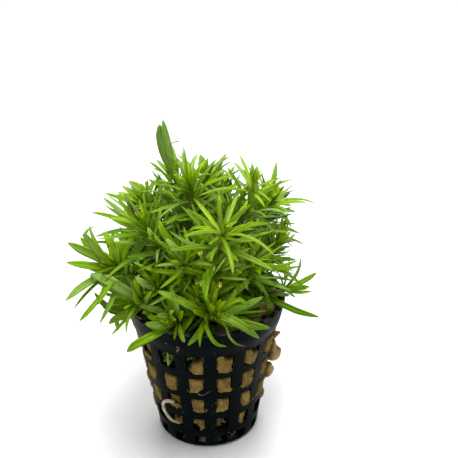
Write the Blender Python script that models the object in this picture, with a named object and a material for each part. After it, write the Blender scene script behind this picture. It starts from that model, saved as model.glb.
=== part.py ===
"""A pogostemon erectus growing in rock wool in a net pot, in metres with +Z up.

The origin is the middle of the pot's base and -Y is the front. The sizes in the tables are in
millimetres, and MM turns them into metres. A shoot is one solid, as it grew: its stem is drawn out
ring by ring, and each leaf is drawn out of one small face of a whorl's band.
"""

import math
import random
from collections import namedtuple

import bmesh
import bpy
from mathutils import Matrix, Vector
from mathutils.bvhtree import BVHTree

MM = 0.001
GAP = 0.3 * MM  # between pieces that touch
FULL_TURN = 2 * math.pi
UP = Vector((0, 0, 1))

# Net pot. Ring.slotted says that slots are open from this ring to the next.
Ring = namedtuple("Ring", "radius height slotted", defaults=(False,))
COLUMNS = 15
PITCH = FULL_TURN / COLUMNS
FIRST_RIB = math.radians(4.1)  # the rib nearest the front
RIB_WIDTH = 3.9 * MM
MOST_RIB_SHARE = 0.3  # of a column's pitch to either side of a rib's middle, in the base
POT_WALL = 1.1 * MM
POT_RINGS = (
    Ring(7.0, 0.0, True),
    Ring(17.0, 0.0),
    Ring(17.8, 1.2, True),
    Ring(18.2, 4.8),
    Ring(18.8, 8.1, True),
    Ring(19.5, 13.0),
    Ring(20.1, 17.1, True),
    Ring(20.8, 22.0),
    Ring(21.4, 25.8, True),
    Ring(22.3, 31.0),
    Ring(22.8, 34.2, True),
    Ring(24.2, 40.4),
    Ring(25.7, 43.1),
    Ring(27.0, 50.0),
)

# Rock wool. Its sides follow the pot's slotted rings, and these rings are its top.
WOOL_TOP = (Ring(21.6, 43.8), Ring(13.2, 45.4))
WELL_FLOOR = Ring(12.4, 37.5)  # the stems stand in a well
FIRST_WOOL_HEIGHT = 8.0  # the slots below this show no wool
BULGE = 0.5 * MM  # how far the wool swells out past the pot's wall
BIG_BULGES = {(2, 3): 3.4, (3, 3): 1.6, (1, 3): 2.4, (2, 4): 2.0, (2, 10): 0.9, (1, 10): 0.9}
EMPTY_CELLS = (  # row and column
    (3, 12), (3, 13), (1, 13),
    (0, 0), (0, 2), (0, 3), (0, 5), (0, 8), (0, 9), (0, 12), (0, 13),
)

# Stems and whorls
STEM_SIDES = 6
FOOT_SPREAD = 0.28  # how far out a stem's foot stands, of how far out its crown does
MOST_FOOT_REACH = 8 * MM  # from the pot's axis
FOOT_SHARES = (1, 0.75, 1.25, 0.5, 1.5, 0.3, 1.8)  # of that reach, tried in turn among dense stems
FOOT_TURNS = (0, 15, -15, 30, -30, 45, -45, 65, -65, 90, -90)  # degrees round the axis
FOOT_HEIGHT = WELL_FLOOR.height * MM + GAP
FOOT_RADIUS = 0.8 * MM
CROWN_RADIUS = 0.55 * MM
BAND = 0.7 * MM  # height of a whorl's band
BUD = 1.6 * MM
MOST_STRAYING = 1.1 * MM
TURN_STEP = 0.7  # radians, from one stem's first side to the next one's

# Leaves. Those in front are described as the view from VIEW_RISE above the level shows them.
VIEW_RISE = math.radians(23.5)
ACROSS_VIEW = Vector((1, 0, 0))
UP_VIEW = Vector((0, math.sin(VIEW_RISE), math.cos(VIEW_RISE)))
TOWARD_VIEW = Vector((0, -math.cos(VIEW_RISE), math.sin(VIEW_RISE)))
AWAY, TOWARD = -1, 1
Leaf = namedtuple("Leaf", "across up length side width")
KEEL = 0.5 * MM  # depth of a leaf's section
LONG_LEAF = 20.5 * MM  # from here a leaf has two sections between its foot and its tip
CLEARANCE = 0.16 * MM  # kept all round a leaf
STEM_CLEARANCE = 0.24 * MM  # kept round a stem by the leaves of other shoots
NEAR_STEM = 1.6 * MM  # nearer than this to their stem, leaves may touch

Shoot = namedtuple("Shoot", "name crown lean leaves lower", defaults=((), ()))
FRONT_SHOOTS = (
    Shoot("star", (6.2, -22.0, 82.5), (0.25, -0.75, 1.0), (
        Leaf(-1.0, 14.5, 20, AWAY, 2.0),
        Leaf(-1.0, 10.5, 12, TOWARD, 2.2),
        Leaf(-9.0, 11.5, 19, AWAY, 2.4),
        Leaf(-10.0, 7.5, 17, TOWARD, 1.9),
        Leaf(-7.0, 6.0, 12, AWAY, 1.3),
        Leaf(5.0, 12.5, 17, AWAY, 2.2),
        Leaf(8.0, 10.5, 17, AWAY, 2.3),
        Leaf(8.5, 8.5, 16, TOWARD, 2.4),
        Leaf(9.0, 4.0, 14, TOWARD, 2.3),
        Leaf(4.5, 3.5, 7, TOWARD, 2.0),
        Leaf(6.0, -2.5, 9, TOWARD, 1.6),
        Leaf(-4.0, -3.0, 7, TOWARD, 1.4),
        Leaf(3.0, -11.5, 15, TOWARD, 2.4),
        Leaf(-11.0, -0.5, 15, TOWARD, 2.1),
        Leaf(-10.0, 1.5, 14, AWAY, 1.8),
        Leaf(14.5, 3.0, 18, AWAY, 2.4),
        Leaf(15.0, -6.5, 19, TOWARD, 1.8),
    )),
    Shoot("left", (-27.2, -14.0, 67.4), (-0.8, -0.35, 0.75), (
        Leaf(-14.0, 10.0, 20, AWAY, 2.9),
        Leaf(-15.0, 8.5, 18, TOWARD, 2.6),
        Leaf(-15.0, 2.5, 17, TOWARD, 2.4),
        Leaf(-8.5, 11.5, 17, TOWARD, 3.2),
        Leaf(1.0, 12.0, 14, AWAY, 2.4),
        Leaf(-2.0, 12.5, 15, AWAY, 2.2),
        Leaf(-5.0, 12.0, 14, AWAY, 2.0),
        Leaf(-10.5, 14.0, 19, AWAY, 1.2),
        Leaf(8.5, 12.0, 17, AWAY, 2.8),
        Leaf(6.0, 12.0, 15, AWAY, 2.0),
        Leaf(0.5, 7.5, 9, TOWARD, 2.2),
        Leaf(-12.0, -16.5, 22, TOWARD, 2.4),
        Leaf(-4.5, -16.0, 18, TOWARD, 1.5),
        Leaf(-13.0, -12.0, 19, TOWARD, 1.0),
        Leaf(-14.5, -9.0, 18, TOWARD, 2.4),
    )),
    Shoot("top_left", (-4.0, -2.0, 88.7), (-0.1, -0.2, 1.0), (
        Leaf(-3.0, 14.0, 16, AWAY, 1.6),
        Leaf(-1.5, 11.0, 12, TOWARD, 1.3),
        Leaf(2.0, 13.0, 16, AWAY, 2.2),
        Leaf(-5.0, 7.0, 10, TOWARD, 1.3),
        Leaf(-10.5, 9.5, 17, AWAY, 1.9),
        Leaf(-12.0, 2.0, 15, TOWARD, 1.3),
        Leaf(-7.0, 12.0, 16, TOWARD, 1.8),
        Leaf(3.5, 8.0, 10, TOWARD, 1.4),
        Leaf(6.5, 9.0, 15, AWAY, 1.5),
        Leaf(3.5, 1.5, 6, TOWARD, 1.2),
        Leaf(-3.0, 3.0, 5, TOWARD, 1.4),
    ), (
        (4.0, (
            Leaf(-13.0, -3.5, 16, TOWARD, 2.6),
            Leaf(-10.0, -5.5, 15, TOWARD, 1.8),
            Leaf(6.0, -0.5, 9, AWAY, 2.0),
        )),
    )),
    Shoot("top_right", (15.9, -2.0, 89.0), (0.15, -0.15, 1.0), (
        Leaf(-4.0, 12.0, 15, AWAY, 1.9),
        Leaf(-6.0, 9.5, 14, AWAY, 1.9),
        Leaf(7.0, 3.0, 10, TOWARD, 1.2),
        Leaf(-10.0, 8.0, 16, AWAY, 2.0),
        Leaf(-17.0, -2.0, 19, TOWARD, 1.8),
        Leaf(-2.5, 2.0, 5, TOWARD, 1.4),
        Leaf(3.5, -5.5, 9, TOWARD, 2.0),
        Leaf(-0.5, 6.5, 8, TOWARD, 1.4),
        Leaf(1.5, 8.5, 12, AWAY, 1.5),
        Leaf(3.0, 7.5, 11, AWAY, 1.3),
        Leaf(5.5, -4.0, 9, TOWARD, 1.4),
    ), (
        (8.0, (
            Leaf(6.5, -2.0, 9, TOWARD, 2.2),
            Leaf(10.0, -7.5, 15, TOWARD, 2.0),
            Leaf(11.5, -6.5, 16, AWAY, 1.6),
        )),
    )),
    Shoot("tall", (-8.7, 6.0, 89.3), (-0.2, 0.0, 1.0), (
        Leaf(-4.0, 19.5, 22, TOWARD, 3.4),
        Leaf(-5.2, 17.0, 22, AWAY, 3.6),
        Leaf(0.0, 13.5, 14, AWAY, 0.9),
    )),
    Shoot("spotted", (-17.3, -9.0, 78.4), (-0.4, -0.3, 1.0), (
        Leaf(-7.0, 12.0, 15, TOWARD, 3.4),
        Leaf(-15.5, 11.0, 20, AWAY, 2.6),
        Leaf(-14.0, 11.5, 19, AWAY, 1.4),
        Leaf(-19.0, 6.0, 21, AWAY, 2.2),
        Leaf(-16.5, 9.0, 20, AWAY, 1.6),
        Leaf(-12.0, 4.0, 14, TOWARD, 2.2),
        Leaf(-8.5, 5.5, 12, TOWARD, 1.9),
        Leaf(4.5, 11.5, 13, TOWARD, 1.4),
        Leaf(-2.5, 12.0, 14, AWAY, 1.6),
        Leaf(4.5, -4.5, 8, TOWARD, 1.9),
    )),
    Shoot("upper_left", (-19.5, 8.0, 79.1), (-0.3, 0.2, 1.0), (
        Leaf(-9.0, 8.0, 13, AWAY, 2.2),
        Leaf(-6.5, 9.5, 13, AWAY, 3.2),
        Leaf(-3.0, 9.0, 10, AWAY, 2.2),
        Leaf(-1.0, 9.0, 10, TOWARD, 1.0),
        Leaf(3.5, 10.5, 12, AWAY, 1.9),
        Leaf(-11.0, 5.0, 13, AWAY, 1.8),
        Leaf(1.0, 9.5, 11, TOWARD, 2.0),
    )),
    Shoot("middle", (-5.3, -16.0, 70.2), (-0.2, -0.5, 1.0), (
        Leaf(-8.0, 13.0, 17, TOWARD, 2.5),
        Leaf(-6.0, 7.5, 11, TOWARD, 2.6),
        Leaf(-9.5, -0.5, 12, TOWARD, 1.9),
        Leaf(-4.0, 17.5, 19, AWAY, 1.1),
        Leaf(5.0, 9.5, 11, AWAY, 1.8),
    )),
    Shoot("right_upper", (19.9, 8.0, 78.3), (0.5, 0.1, 0.9), (
        Leaf(8.5, 4.0, 11, AWAY, 3.2),
        Leaf(13.5, 2.0, 16, TOWARD, 2.0),
        Leaf(9.5, 1.0, 11, TOWARD, 2.0),
        Leaf(10.5, -1.0, 12, TOWARD, 3.0),
        Leaf(11.0, 0.0, 13, AWAY, 1.6),
        Leaf(7.5, -1.5, 9, TOWARD, 2.4),
        Leaf(5.0, 16.5, 18, AWAY, 2.0),
    )),
    Shoot("right", (23.6, 2.0, 66.9), (0.5, -0.1, 0.9), (
        Leaf(4.5, 5.0, 8, AWAY, 1.6),
        Leaf(4.5, 2.5, 7, TOWARD, 1.5),
        Leaf(3.0, 0.0, 5, AWAY, 1.2),
        Leaf(3.5, -1.5, 5, TOWARD, 1.0),
        Leaf(-0.5, 3.5, 6, AWAY, 0.9),
        Leaf(-6.0, 4.5, 9, AWAY, 1.9),
        Leaf(-4.5, 0.0, 8, TOWARD, 1.8),
        Leaf(-3.0, -4.0, 8, TOWARD, 1.6),
    )),
    Shoot("hanging", (27.2, -2.0, 53.2), (1.0, 0.3, 0.15), (
        Leaf(6.0, 10.5, 13, AWAY, 1.8),
        Leaf(2.0, 10.0, 11, AWAY, 1.3),
        Leaf(11.5, 5.0, 14, AWAY, 2.0),
        Leaf(8.0, 1.0, 10, TOWARD, 1.8),
        Leaf(8.5, -0.5, 10, AWAY, 1.5),
        Leaf(3.0, -2.0, 5, TOWARD, 0.9),
        Leaf(-3.0, 7.0, 9, AWAY, 1.2),
        Leaf(-5.0, 3.0, 8, TOWARD, 1.6),
        Leaf(-2.8, 13.0, 14, TOWARD, 1.3),
    ), (
        (7.0, (
            Leaf(16.5, -6.5, 19, TOWARD, 2.4),
            Leaf(-0.5, -8.5, 10, TOWARD, 2.4),
            Leaf(-5.0, 3.5, 8, AWAY, 2.0),
        )),
    )),
    Shoot("front", (2.9, -22.0, 54.2), (0.5, -0.9, 0.35), (
        Leaf(14.5, -6.5, 17, TOWARD, 3.4),
        Leaf(14.5, 13.0, 20, AWAY, 2.2),
        Leaf(8.5, 10.0, 14, AWAY, 2.2),
        Leaf(16.0, 6.5, 18, TOWARD, 2.4),
        Leaf(11.0, 3.5, 12, TOWARD, 2.8),
        Leaf(17.5, -3.0, 19, TOWARD, 2.8),
        Leaf(18.5, -4.0, 19, AWAY, 1.8),
        Leaf(18.5, 4.0, 19, AWAY, 1.5),
        Leaf(17.5, 1.5, 18, AWAY, 1.2),
        Leaf(5.5, 1.5, 7, TOWARD, 2.2),
        Leaf(0.5, 12.5, 13, TOWARD, 2.4),
        Leaf(4.5, -8.5, 10, TOWARD, 1.6),
        Leaf(10.0, -8.5, 14, TOWARD, 1.7),
        Leaf(-4.5, 3.5, 7, TOWARD, 1.4),
        Leaf(-11.5, 9.0, 15, AWAY, 2.2),
    )),
    Shoot("front_left", (-8.9, -20.6, 51.6), (-0.6, -0.8, 0.3), (
        Leaf(-15.5, -7.5, 19, TOWARD, 2.4),
        Leaf(-9.0, 2.0, 10, TOWARD, 2.4),
        Leaf(-11.5, 2.0, 13, AWAY, 1.4),
        Leaf(-6.0, 3.0, 8, TOWARD, 2.6),
        Leaf(-4.5, 10.0, 12, AWAY, 2.0),
        Leaf(-1.0, 12.0, 13, TOWARD, 2.2),
        Leaf(-14.0, 1.5, 15, AWAY, 1.2),
    )),
    Shoot("left_low", (-20.5, -16.0, 56.4), (-0.7, -0.6, 0.6), (
        Leaf(-15.5, 9.0, 19, TOWARD, 3.2),
        Leaf(-7.5, 7.0, 11, TOWARD, 2.2),
        Leaf(-10.5, 0.0, 12, TOWARD, 2.2),
        Leaf(-14.0, 3.0, 15, AWAY, 1.6),
        Leaf(-1.5, 8.0, 10, TOWARD, 2.4),
    )),
    Shoot("top_back", (0.5, 14.0, 85.2), (0.1, 0.3, 1.0), (
        Leaf(-2.0, 11.0, 13, AWAY, 3.0),
        Leaf(7.0, 11.5, 16, AWAY, 2.4),
        Leaf(8.0, 10.0, 15, AWAY, 1.8),
        Leaf(9.0, 7.5, 13, TOWARD, 1.8),
        Leaf(10.5, 5.5, 14, TOWARD, 2.4),
        Leaf(3.5, 9.0, 11, AWAY, 1.6),
    )),
    Shoot("right_back", (22.1, 18.0, 76.0), (0.4, 0.5, 0.9), (
        Leaf(3.5, 6.0, 9, AWAY, 1.3),
        Leaf(1.5, 6.5, 8, AWAY, 1.2),
        Leaf(5.0, 4.0, 8, TOWARD, 1.3),
    )),
    Shoot("centre_right", (14.5, -12.0, 68.0), (0.2, -0.4, 1.0), (
        Leaf(7.5, 2.0, 10, AWAY, 1.6),
        Leaf(9.0, -0.5, 10, TOWARD, 1.6),
        Leaf(3.5, 5.5, 8, AWAY, 1.4),
        Leaf(-2.0, 4.5, 7, AWAY, 1.4),
        Leaf(4.0, -2.0, 7, TOWARD, 1.4),
        Leaf(-3.5, 2.0, 7, TOWARD, 1.4),
    )),
    Shoot("bud", (2.6, -17.7, 67.2), (0.0, -0.2, 1.0), (
        Leaf(-4.0, 5.5, 8, AWAY, 1.2),
        Leaf(0.0, 3.5, 5, TOWARD, 1.4),
        Leaf(4.0, 3.0, 8, AWAY, 1.4),
    )),
)
BACK_SHOOTS = (
    Shoot("back_far_left", (-25.0, 17.0, 61.0), (-0.8, 0.5, 0.7)),
    Shoot("back_left", (-14.0, 26.0, 71.0), (-0.3, 0.7, 0.8)),
    Shoot("back_middle", (4.0, 29.0, 76.0), (0.1, 0.6, 0.9)),
    Shoot("back_right", (17.0, 27.0, 66.0), (0.4, 0.7, 0.7)),
    Shoot("back_low_left", (-13.0, 36.0, 55.0), (-0.4, 0.9, 0.3)),
    Shoot("back_low_middle", (4.0, 38.0, 57.0), (0.1, 1.0, 0.3)),
    Shoot("back_low_right", (21.0, 24.0, 55.0), (0.6, 0.8, 0.3)),
    Shoot("inner_right", (9.0, 4.0, 78.0), (0.2, 0.0, 1.0)),
    Shoot("low_left", (-14.0, -13.0, 60.0), (-0.4, -0.6, 0.8)),
    Shoot("low_middle", (-1.0, -17.0, 57.0), (-0.1, -0.8, 0.7)),
)

# Whorls that every shoot has besides the leaves described above
Whorl = namedtuple("Whorl", "down rise length")  # down the stem from the crown, degrees, length
CROWN_WHORLS = (Whorl(0.0, 58, 11), Whorl(0.7, 38, 16), Whorl(1.4, 24, 19))  # band upon band
LOWER_WHORLS = (Whorl(9.0, 18, 20), Whorl(18.0, 6, 20))
MOST_INWARD = 0.0  # a lower leaf that points further in than this has no light and is left out
LEAF_WIDTH_SHARE = 0.12  # of its length
WHORL_FLOOR = 47 * MM  # no whorl is lower than this
DEPTH_SHIFTS = (0, 1.5, -1.5, 3, -3, 5, -5, 7, -7, 9, -9)  # mm toward the view, tried in turn
BOWS = (0.06, 0.12, 0.0)  # of a leaf's length, tried in turn
SIDES_TRIED = 6
TRIES = 7
SEED = 12


def clear_scene():
    for item in list(bpy.data.objects):
        bpy.data.objects.remove(item)


def material(name, colour, roughness):
    made = bpy.data.materials.new(name)
    made.use_nodes = True
    shader = made.node_tree.nodes["Principled BSDF"]
    shader.inputs["Base Color"].default_value = (*colour, 1)
    shader.inputs["Roughness"].default_value = roughness
    shader.inputs["Metallic"].default_value = 0
    return made


def node(name, mesh, finish, parent):
    made = bpy.data.objects.new(name, mesh)
    mesh.materials.append(finish)
    made.parent = parent
    bpy.context.collection.objects.link(made)
    return made


def mesh_of(bm, name):
    mesh = bpy.data.meshes.new(name)
    bm.to_mesh(mesh)
    bm.free()
    return mesh


def wall_point(ring, inset, j, side_gap):
    """Point j of a ring. Each rib has two, one at either edge, and a slot lies between ribs."""
    rib, far_edge = divmod(j, 2)
    radius = ring.radius * MM - inset
    half = min((RIB_WIDTH / 2 + side_gap) / radius, MOST_RIB_SHARE * PITCH)
    angle = FIRST_RIB + rib * PITCH + (half if far_edge else -half)
    return Vector((radius * math.sin(angle), -radius * math.cos(angle), ring.height * MM))


def draw_out_ring(bm, verts, points):
    """Extrudes the open edge through verts to points, and returns the new vertices in that order."""
    count = len(verts)
    edges = [bm.edges.get((verts[j], verts[(j + 1) % count])) for j in range(count)]
    fresh = bmesh.ops.extrude_edge_only(bm, edges=edges)["geom"]
    fresh = {item for item in fresh if isinstance(item, bmesh.types.BMVert)}
    moved = []
    for old, point in zip(verts, points):
        new = next(e.other_vert(old) for e in old.link_edges if e.other_vert(old) in fresh)
        new.co = point
        moved.append(new)
    return moved


def first_ring(bm, points):
    verts = bmesh.ops.create_circle(bm, segments=len(points), radius=1, cap_ends=True)["verts"]
    for vert, point in zip(verts, points):
        vert.co = point
    return verts


def net_pot(finish, parent):
    """One moulded sheet from the base's middle up to the rim, slotted and then given its wall."""
    bm = bmesh.new()
    edges = range(2 * COLUMNS)
    verts = first_ring(bm, [wall_point(POT_RINGS[0], 0, j, 0) for j in edges])
    slots = []
    for lower, upper in zip(POT_RINGS, POT_RINGS[1:]):
        above = draw_out_ring(bm, verts, [wall_point(upper, 0, j, 0) for j in edges])
        if lower.slotted:
            for j in edges[1::2]:
                k = (j + 1) % len(edges)
                slots.append(bm.faces.get((verts[j], verts[k], above[k], above[j])))
        verts = above
    bmesh.ops.delete(bm, geom=slots, context="FACES_ONLY")
    bmesh.ops.recalc_face_normals(bm, faces=bm.faces[:])
    pot = node("net_pot", mesh_of(bm, "net_pot"), finish, parent)
    wall = pot.modifiers.new("wall", "SOLIDIFY")
    wall.thickness = POT_WALL
    wall.offset = -1
    wall.use_even_offset = True
    return pot


def rock_wool(finish, parent):
    """A plug inside the pot, with a well for the stems, that swells out through the slots."""
    bm = bmesh.new()
    edges = range(2 * COLUMNS)
    inset = POT_WALL + GAP
    walls = [ring for ring in POT_RINGS if FIRST_WOOL_HEIGHT < ring.height < WOOL_TOP[0].height - 3]
    margin = GAP / MM * 1.2
    rings = []
    for ring in walls:
        height = ring.height + (margin if ring.slotted else -margin)
        rings.append((Ring(ring.radius, height, ring.slotted), inset))
    rings += [(ring, 0) for ring in (*WOOL_TOP, WELL_FLOOR)]
    verts = first_ring(bm, [wall_point(*rings[0], j, GAP * 1.2) for j in edges])
    row = 0
    cells = []
    for (lower, _), (upper, upper_inset) in zip(rings, rings[1:]):
        points = [wall_point(upper, upper_inset, j, GAP * 1.2) for j in edges]
        above = draw_out_ring(bm, verts, points)
        if lower.slotted:
            for j in edges[1::2]:
                k = (j + 1) % len(edges)
                cell = bm.faces.get((verts[j], verts[k], above[k], above[j]))
                cells.append((row, j // 2, cell))
            row += 1
        verts = above
    bmesh.ops.contextual_create(bm, geom=verts)
    bmesh.ops.recalc_face_normals(bm, faces=bm.faces[:])
    for row, column, cell in cells:
        if (row, column) in EMPTY_CELLS:
            continue
        out = cell.calc_center_median()
        out.z = 0
        out.normalize()
        through = POT_WALL + GAP + BULGE
        big = BIG_BULGES.get((row, column), 0) * MM
        cell = swell(bm, cell, out * through, 0.86)
        if big:
            swell(bm, cell, out * big, 0.62)
    return node("rock_wool", mesh_of(bm, "rock_wool"), finish, parent)


def swell(bm, face, move, scale):
    """Draws a face of the wool out, and returns the new face, smaller about its middle."""
    face = bmesh.ops.extrude_discrete_faces(bm, faces=[face])["faces"][0]
    middle = face.calc_center_median()
    for vert in face.verts:
        vert.co = middle + (vert.co - middle) * scale + move
    return face


def around(angle, radius, height):
    """A point by its turn from the front in degrees, and its radius and height in millimetres."""
    turn = math.radians(angle)
    return Vector((radius * math.sin(turn), -radius * math.cos(turn), height)) * MM


def white_root(finish, parent):
    """A root that leaves one slot, hooks over the rib beside it and goes back in below."""
    route = (
        (-33.8, 19.8, 18.3),
        (-35.2, 22.0, 19.7),
        (-37.6, 22.8, 19.6),
        (-39.9, 22.7, 17.9),
        (-40.0, 22.4, 15.8),
        (-37.6, 21.9, 13.6),
        (-33.6, 21.2, 11.6),
        (-28.6, 19.4, 9.9),
    )
    thick, thin = 0.75 * MM, 0.4 * MM
    curve = bpy.data.curves.new("white_root", "CURVE")
    curve.dimensions = "3D"
    curve.bevel_depth = 1.0
    curve.bevel_resolution = 1
    curve.use_fill_caps = True
    spline = curve.splines.new("POLY")
    spline.points.add(len(route) - 1)
    for i, (point, place) in enumerate(zip(spline.points, route)):
        point.co = (*around(*place), 1)
        point.radius = thick + (thin - thick) * i / (len(route) - 1)
    return node("white_root", curve, finish, parent)


class Stem:
    """A stem's path from its foot to its crown, with the places of its whorls' bands."""

    def __init__(self, shoot, foot, turn):
        crown = Vector(shoot.crown) * MM
        reach = (crown - foot).length
        lean = Vector(shoot.lean).normalized()
        self.points = (foot, foot + UP * reach * 0.45, crown - lean * reach * 0.3, crown)
        samples = [self.at(i / 60) for i in range(61)]
        self.lengths = [0.0]
        for a, b in zip(samples, samples[1:]):
            self.lengths.append(self.lengths[-1] + (b - a).length)
        self.length = self.lengths[-1]
        self.turn = turn

    def at(self, t):
        a, b, c, d = self.points
        s = 1 - t
        return a * s**3 + b * 3 * s * s * t + c * 3 * s * t * t + d * t**3

    def along(self, distance):
        """The point this far from the foot, with the stem's direction and thickness there."""
        distance = min(max(distance, 0), self.length)
        i = next(i for i in range(1, 61) if self.lengths[i] >= distance - 1e-9)
        span = self.lengths[i] - self.lengths[i - 1]
        t = (i - 1 + (distance - self.lengths[i - 1]) / span) / 60
        ahead = (self.at(min(t + 0.01, 1)) - self.at(max(t - 0.01, 0))).normalized()
        share = distance / self.length
        return self.at(t), ahead, FOOT_RADIUS + (CROWN_RADIUS - FOOT_RADIUS) * share

    def strays(self, start, middle, end):
        """Whether the stem bows out too far here to be drawn straight from start to end."""
        straight = (self.along(start)[0] + self.along(end)[0]) / 2
        return (self.along(middle)[0] - straight).length > MOST_STRAYING

    def ring(self, distance, turn):
        """The points of a ring round the stem."""
        middle, ahead, radius = self.along(distance)
        aside = ahead.cross(Vector((0, 1, 0.001))).normalized()
        out = aside.cross(ahead)
        points = []
        for j in range(STEM_SIDES):
            angle = turn + j * FULL_TURN / STEM_SIDES
            points.append(middle + (aside * math.cos(angle) + out * math.sin(angle)) * radius)
        return points


class Growth:
    """A shoot while it grows: its mesh, its bands and which of their sides still bear no leaf."""

    def __init__(self, shoot, foot, turn):
        self.shoot = shoot
        self.stem = Stem(shoot, foot, turn)
        self.bm = bmesh.new()
        top = self.stem.length - BAND
        count = max(2, math.ceil(len(shoot.leaves) / STEM_SIDES))
        self.crown = [("crown", i) for i in range(count)]
        places = {top - CROWN_WHORLS[i].down * MM: ("crown", i) for i in range(count)}
        for down, _ in shoot.lower:
            places[top - down * MM] = ("described", down)
        for i, whorl in enumerate(LOWER_WHORLS):
            place = top - whorl.down * MM
            apart = all(abs(place - other) > 2.5 * BAND for other in places)
            if apart and self.stem.along(place)[0].z > WHORL_FLOOR:
                places[place] = ("whorl", i)
        self.bands = {}
        self.sides = {}
        self.draw(sorted(places.items()))

    def draw(self, places):
        """Draws the stem up through its bands to the bud."""
        turn = self.stem.turn
        ring = first_ring(self.bm, self.stem.ring(0, turn))
        top = 0
        for distance, kind in places:
            bottom = distance - BAND / 2
            if bottom - top > BAND / 2:
                middle = (top + bottom) / 2
                if self.stem.strays(top, middle, bottom):
                    ring = draw_out_ring(self.bm, ring, self.stem.ring(middle, turn))
                ring = draw_out_ring(self.bm, ring, self.stem.ring(bottom, turn))
            turn += FULL_TURN / STEM_SIDES / 2
            below = ring
            top = distance + BAND / 2
            ring = draw_out_ring(self.bm, below, self.stem.ring(top, turn))
            self.bands[kind] = distance
            for j in range(STEM_SIDES):
                k = (j + 1) % STEM_SIDES
                self.sides[kind, j] = (below[j], below[k], ring[k], ring[j])
        cap = bmesh.ops.contextual_create(self.bm, geom=ring)["faces"]
        bmesh.ops.recalc_face_normals(self.bm, faces=self.bm.faces[:])
        tip = bmesh.ops.poke(self.bm, faces=cap)["verts"][0]
        end, ahead, _ = self.stem.along(self.stem.length)
        tip.co = end + ahead * BUD

    def free_sides(self, kinds):
        return [key for key in self.sides if key[0] in kinds]

    def side_facing(self, key):
        """The middle of a band's side, the stem's direction there and the way the side faces."""
        middle = sum((vert.co for vert in self.sides[key]), Vector()) / 4
        inner, ahead, _ = self.stem.along(self.bands[key[0]])
        return middle, ahead, (middle - inner).normalized()


def leaf_sections(foot, tip, axis, face_out, width, bow, narrow):
    """Sections of a leaf from foot to tip: each has its middle, half its width and its keel."""
    reach = tip - foot
    heading = reach - axis * reach.dot(axis)
    if heading.length < 0.15 * reach.length:
        heading = face_out * 0.15 * reach.length + heading
    side = axis.cross(heading).normalized()
    lift = axis - reach * (axis.dot(reach) / reach.length_squared)
    if lift.length < 0.2:
        lift = face_out * -1
    control = (foot + tip) / 2 + lift.normalized() * bow * reach.length * 2
    steps = ((0.45, 1.0),) if narrow else ((0.32, 1.0), (0.7, 0.82))
    sections = []
    for t, share in steps:
        middle = foot * (1 - t) ** 2 + control * 2 * t * (1 - t) + tip * t * t
        ahead = ((control - foot) * (1 - t) + (tip - control) * t).normalized()
        across = (side - ahead * side.dot(ahead)).normalized()
        above = ahead.cross(across)
        sections.append((middle, across * width / 2 * share, above * KEEL))
    return sections


def tube_tree(rings, tip, spread):
    """A search tree of the tube through triangular rings, grown by spread, up to its tip."""
    points = []
    faces = []
    for middle, half, keel in rings:
        wide = half + half.normalized() * spread
        deep = keel.normalized() * spread
        points += [middle - wide + deep, middle + wide + deep, middle - keel - deep]
    for i in range(0, len(points) - 3, 3):
        for a, b in ((0, 1), (1, 2), (2, 0)):
            faces.append((i + a, i + b, i + 3 + b, i + 3 + a))
    last = len(points) - 3
    points.append(tip)
    faces += [(last, last + 1, last + 3), (last + 1, last + 2, last + 3), (last + 2, last, last + 3)]
    return BVHTree.FromPolygons(points, faces)


class Room:
    """What already takes up room, so that no leaf grows through another, a stem or the pot.

    A thing is kept as a search tree of all of it and, for leaves, one that starts off its stem:
    leaves of one shoot meet at the stem they grow from, so only the rest of them is compared.
    """

    def __init__(self):
        self.taken = []

    def add(self, owner, whole, apart, low, high):
        self.taken.append((owner, whole, apart, low, high))

    def add_object(self, item):
        evaluated = item.evaluated_get(bpy.context.evaluated_depsgraph_get())
        mesh = evaluated.to_mesh()
        points = [item.matrix_world @ v.co for v in mesh.vertices]
        tree = BVHTree.FromPolygons(points, [p.vertices for p in mesh.polygons])
        self.add(None, tree, tree, *bounds(points))
        evaluated.to_mesh_clear()

    def holds(self, owner, whole, apart, low, high):
        for other_owner, other_whole, other_apart, other_low, other_high in self.taken:
            if all(low[i] < other_high[i] and high[i] > other_low[i] for i in range(3)):
                if other_owner == owner:
                    met = apart.overlap(other_apart)
                else:
                    met = whole.overlap(other_whole)
                if met:
                    return True
        return False


def bounds(points):
    low = Vector([min(p[i] for p in points) for i in range(3)])
    high = Vector([max(p[i] for p in points) for i in range(3)])
    return low, high


def feet(crown):
    """Places for a stem's foot, the best of them first."""
    foot = Vector((crown.x, crown.y, 0)) * FOOT_SPREAD
    foot *= min(1, MOST_FOOT_REACH / foot.length)
    for share in FOOT_SHARES:
        for degrees in FOOT_TURNS:
            turned = Matrix.Rotation(math.radians(degrees), 3, "Z") @ foot
            yield turned * share + UP * FOOT_HEIGHT


def raise_stem(shoot, turn, room):
    """Draws a shoot's stem from the first foot that keeps it clear of the others."""
    for foot in feet(Vector(shoot.crown) * MM):
        growth = Growth(shoot, foot, turn)
        verts = growth.bm.verts[:]
        growth.bm.normal_update()
        faces = [[verts.index(vert) for vert in face.verts] for face in growth.bm.faces]
        trees = []
        for spread in (STEM_CLEARANCE, CLEARANCE):
            points = [vert.co + vert.normal * spread for vert in verts]
            trees.append(BVHTree.FromPolygons(points, faces))
        wide, close = trees
        margin = Vector((1, 1, 1)) * STEM_CLEARANCE
        low, high = bounds(points)
        if not room.holds(shoot.name, close, close, low, high):
            room.add(shoot.name, wide, close, low - margin, high + margin)
            return growth
        growth.bm.free()
    raise ValueError("no foot keeps the stem of " + shoot.name + " clear")


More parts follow.
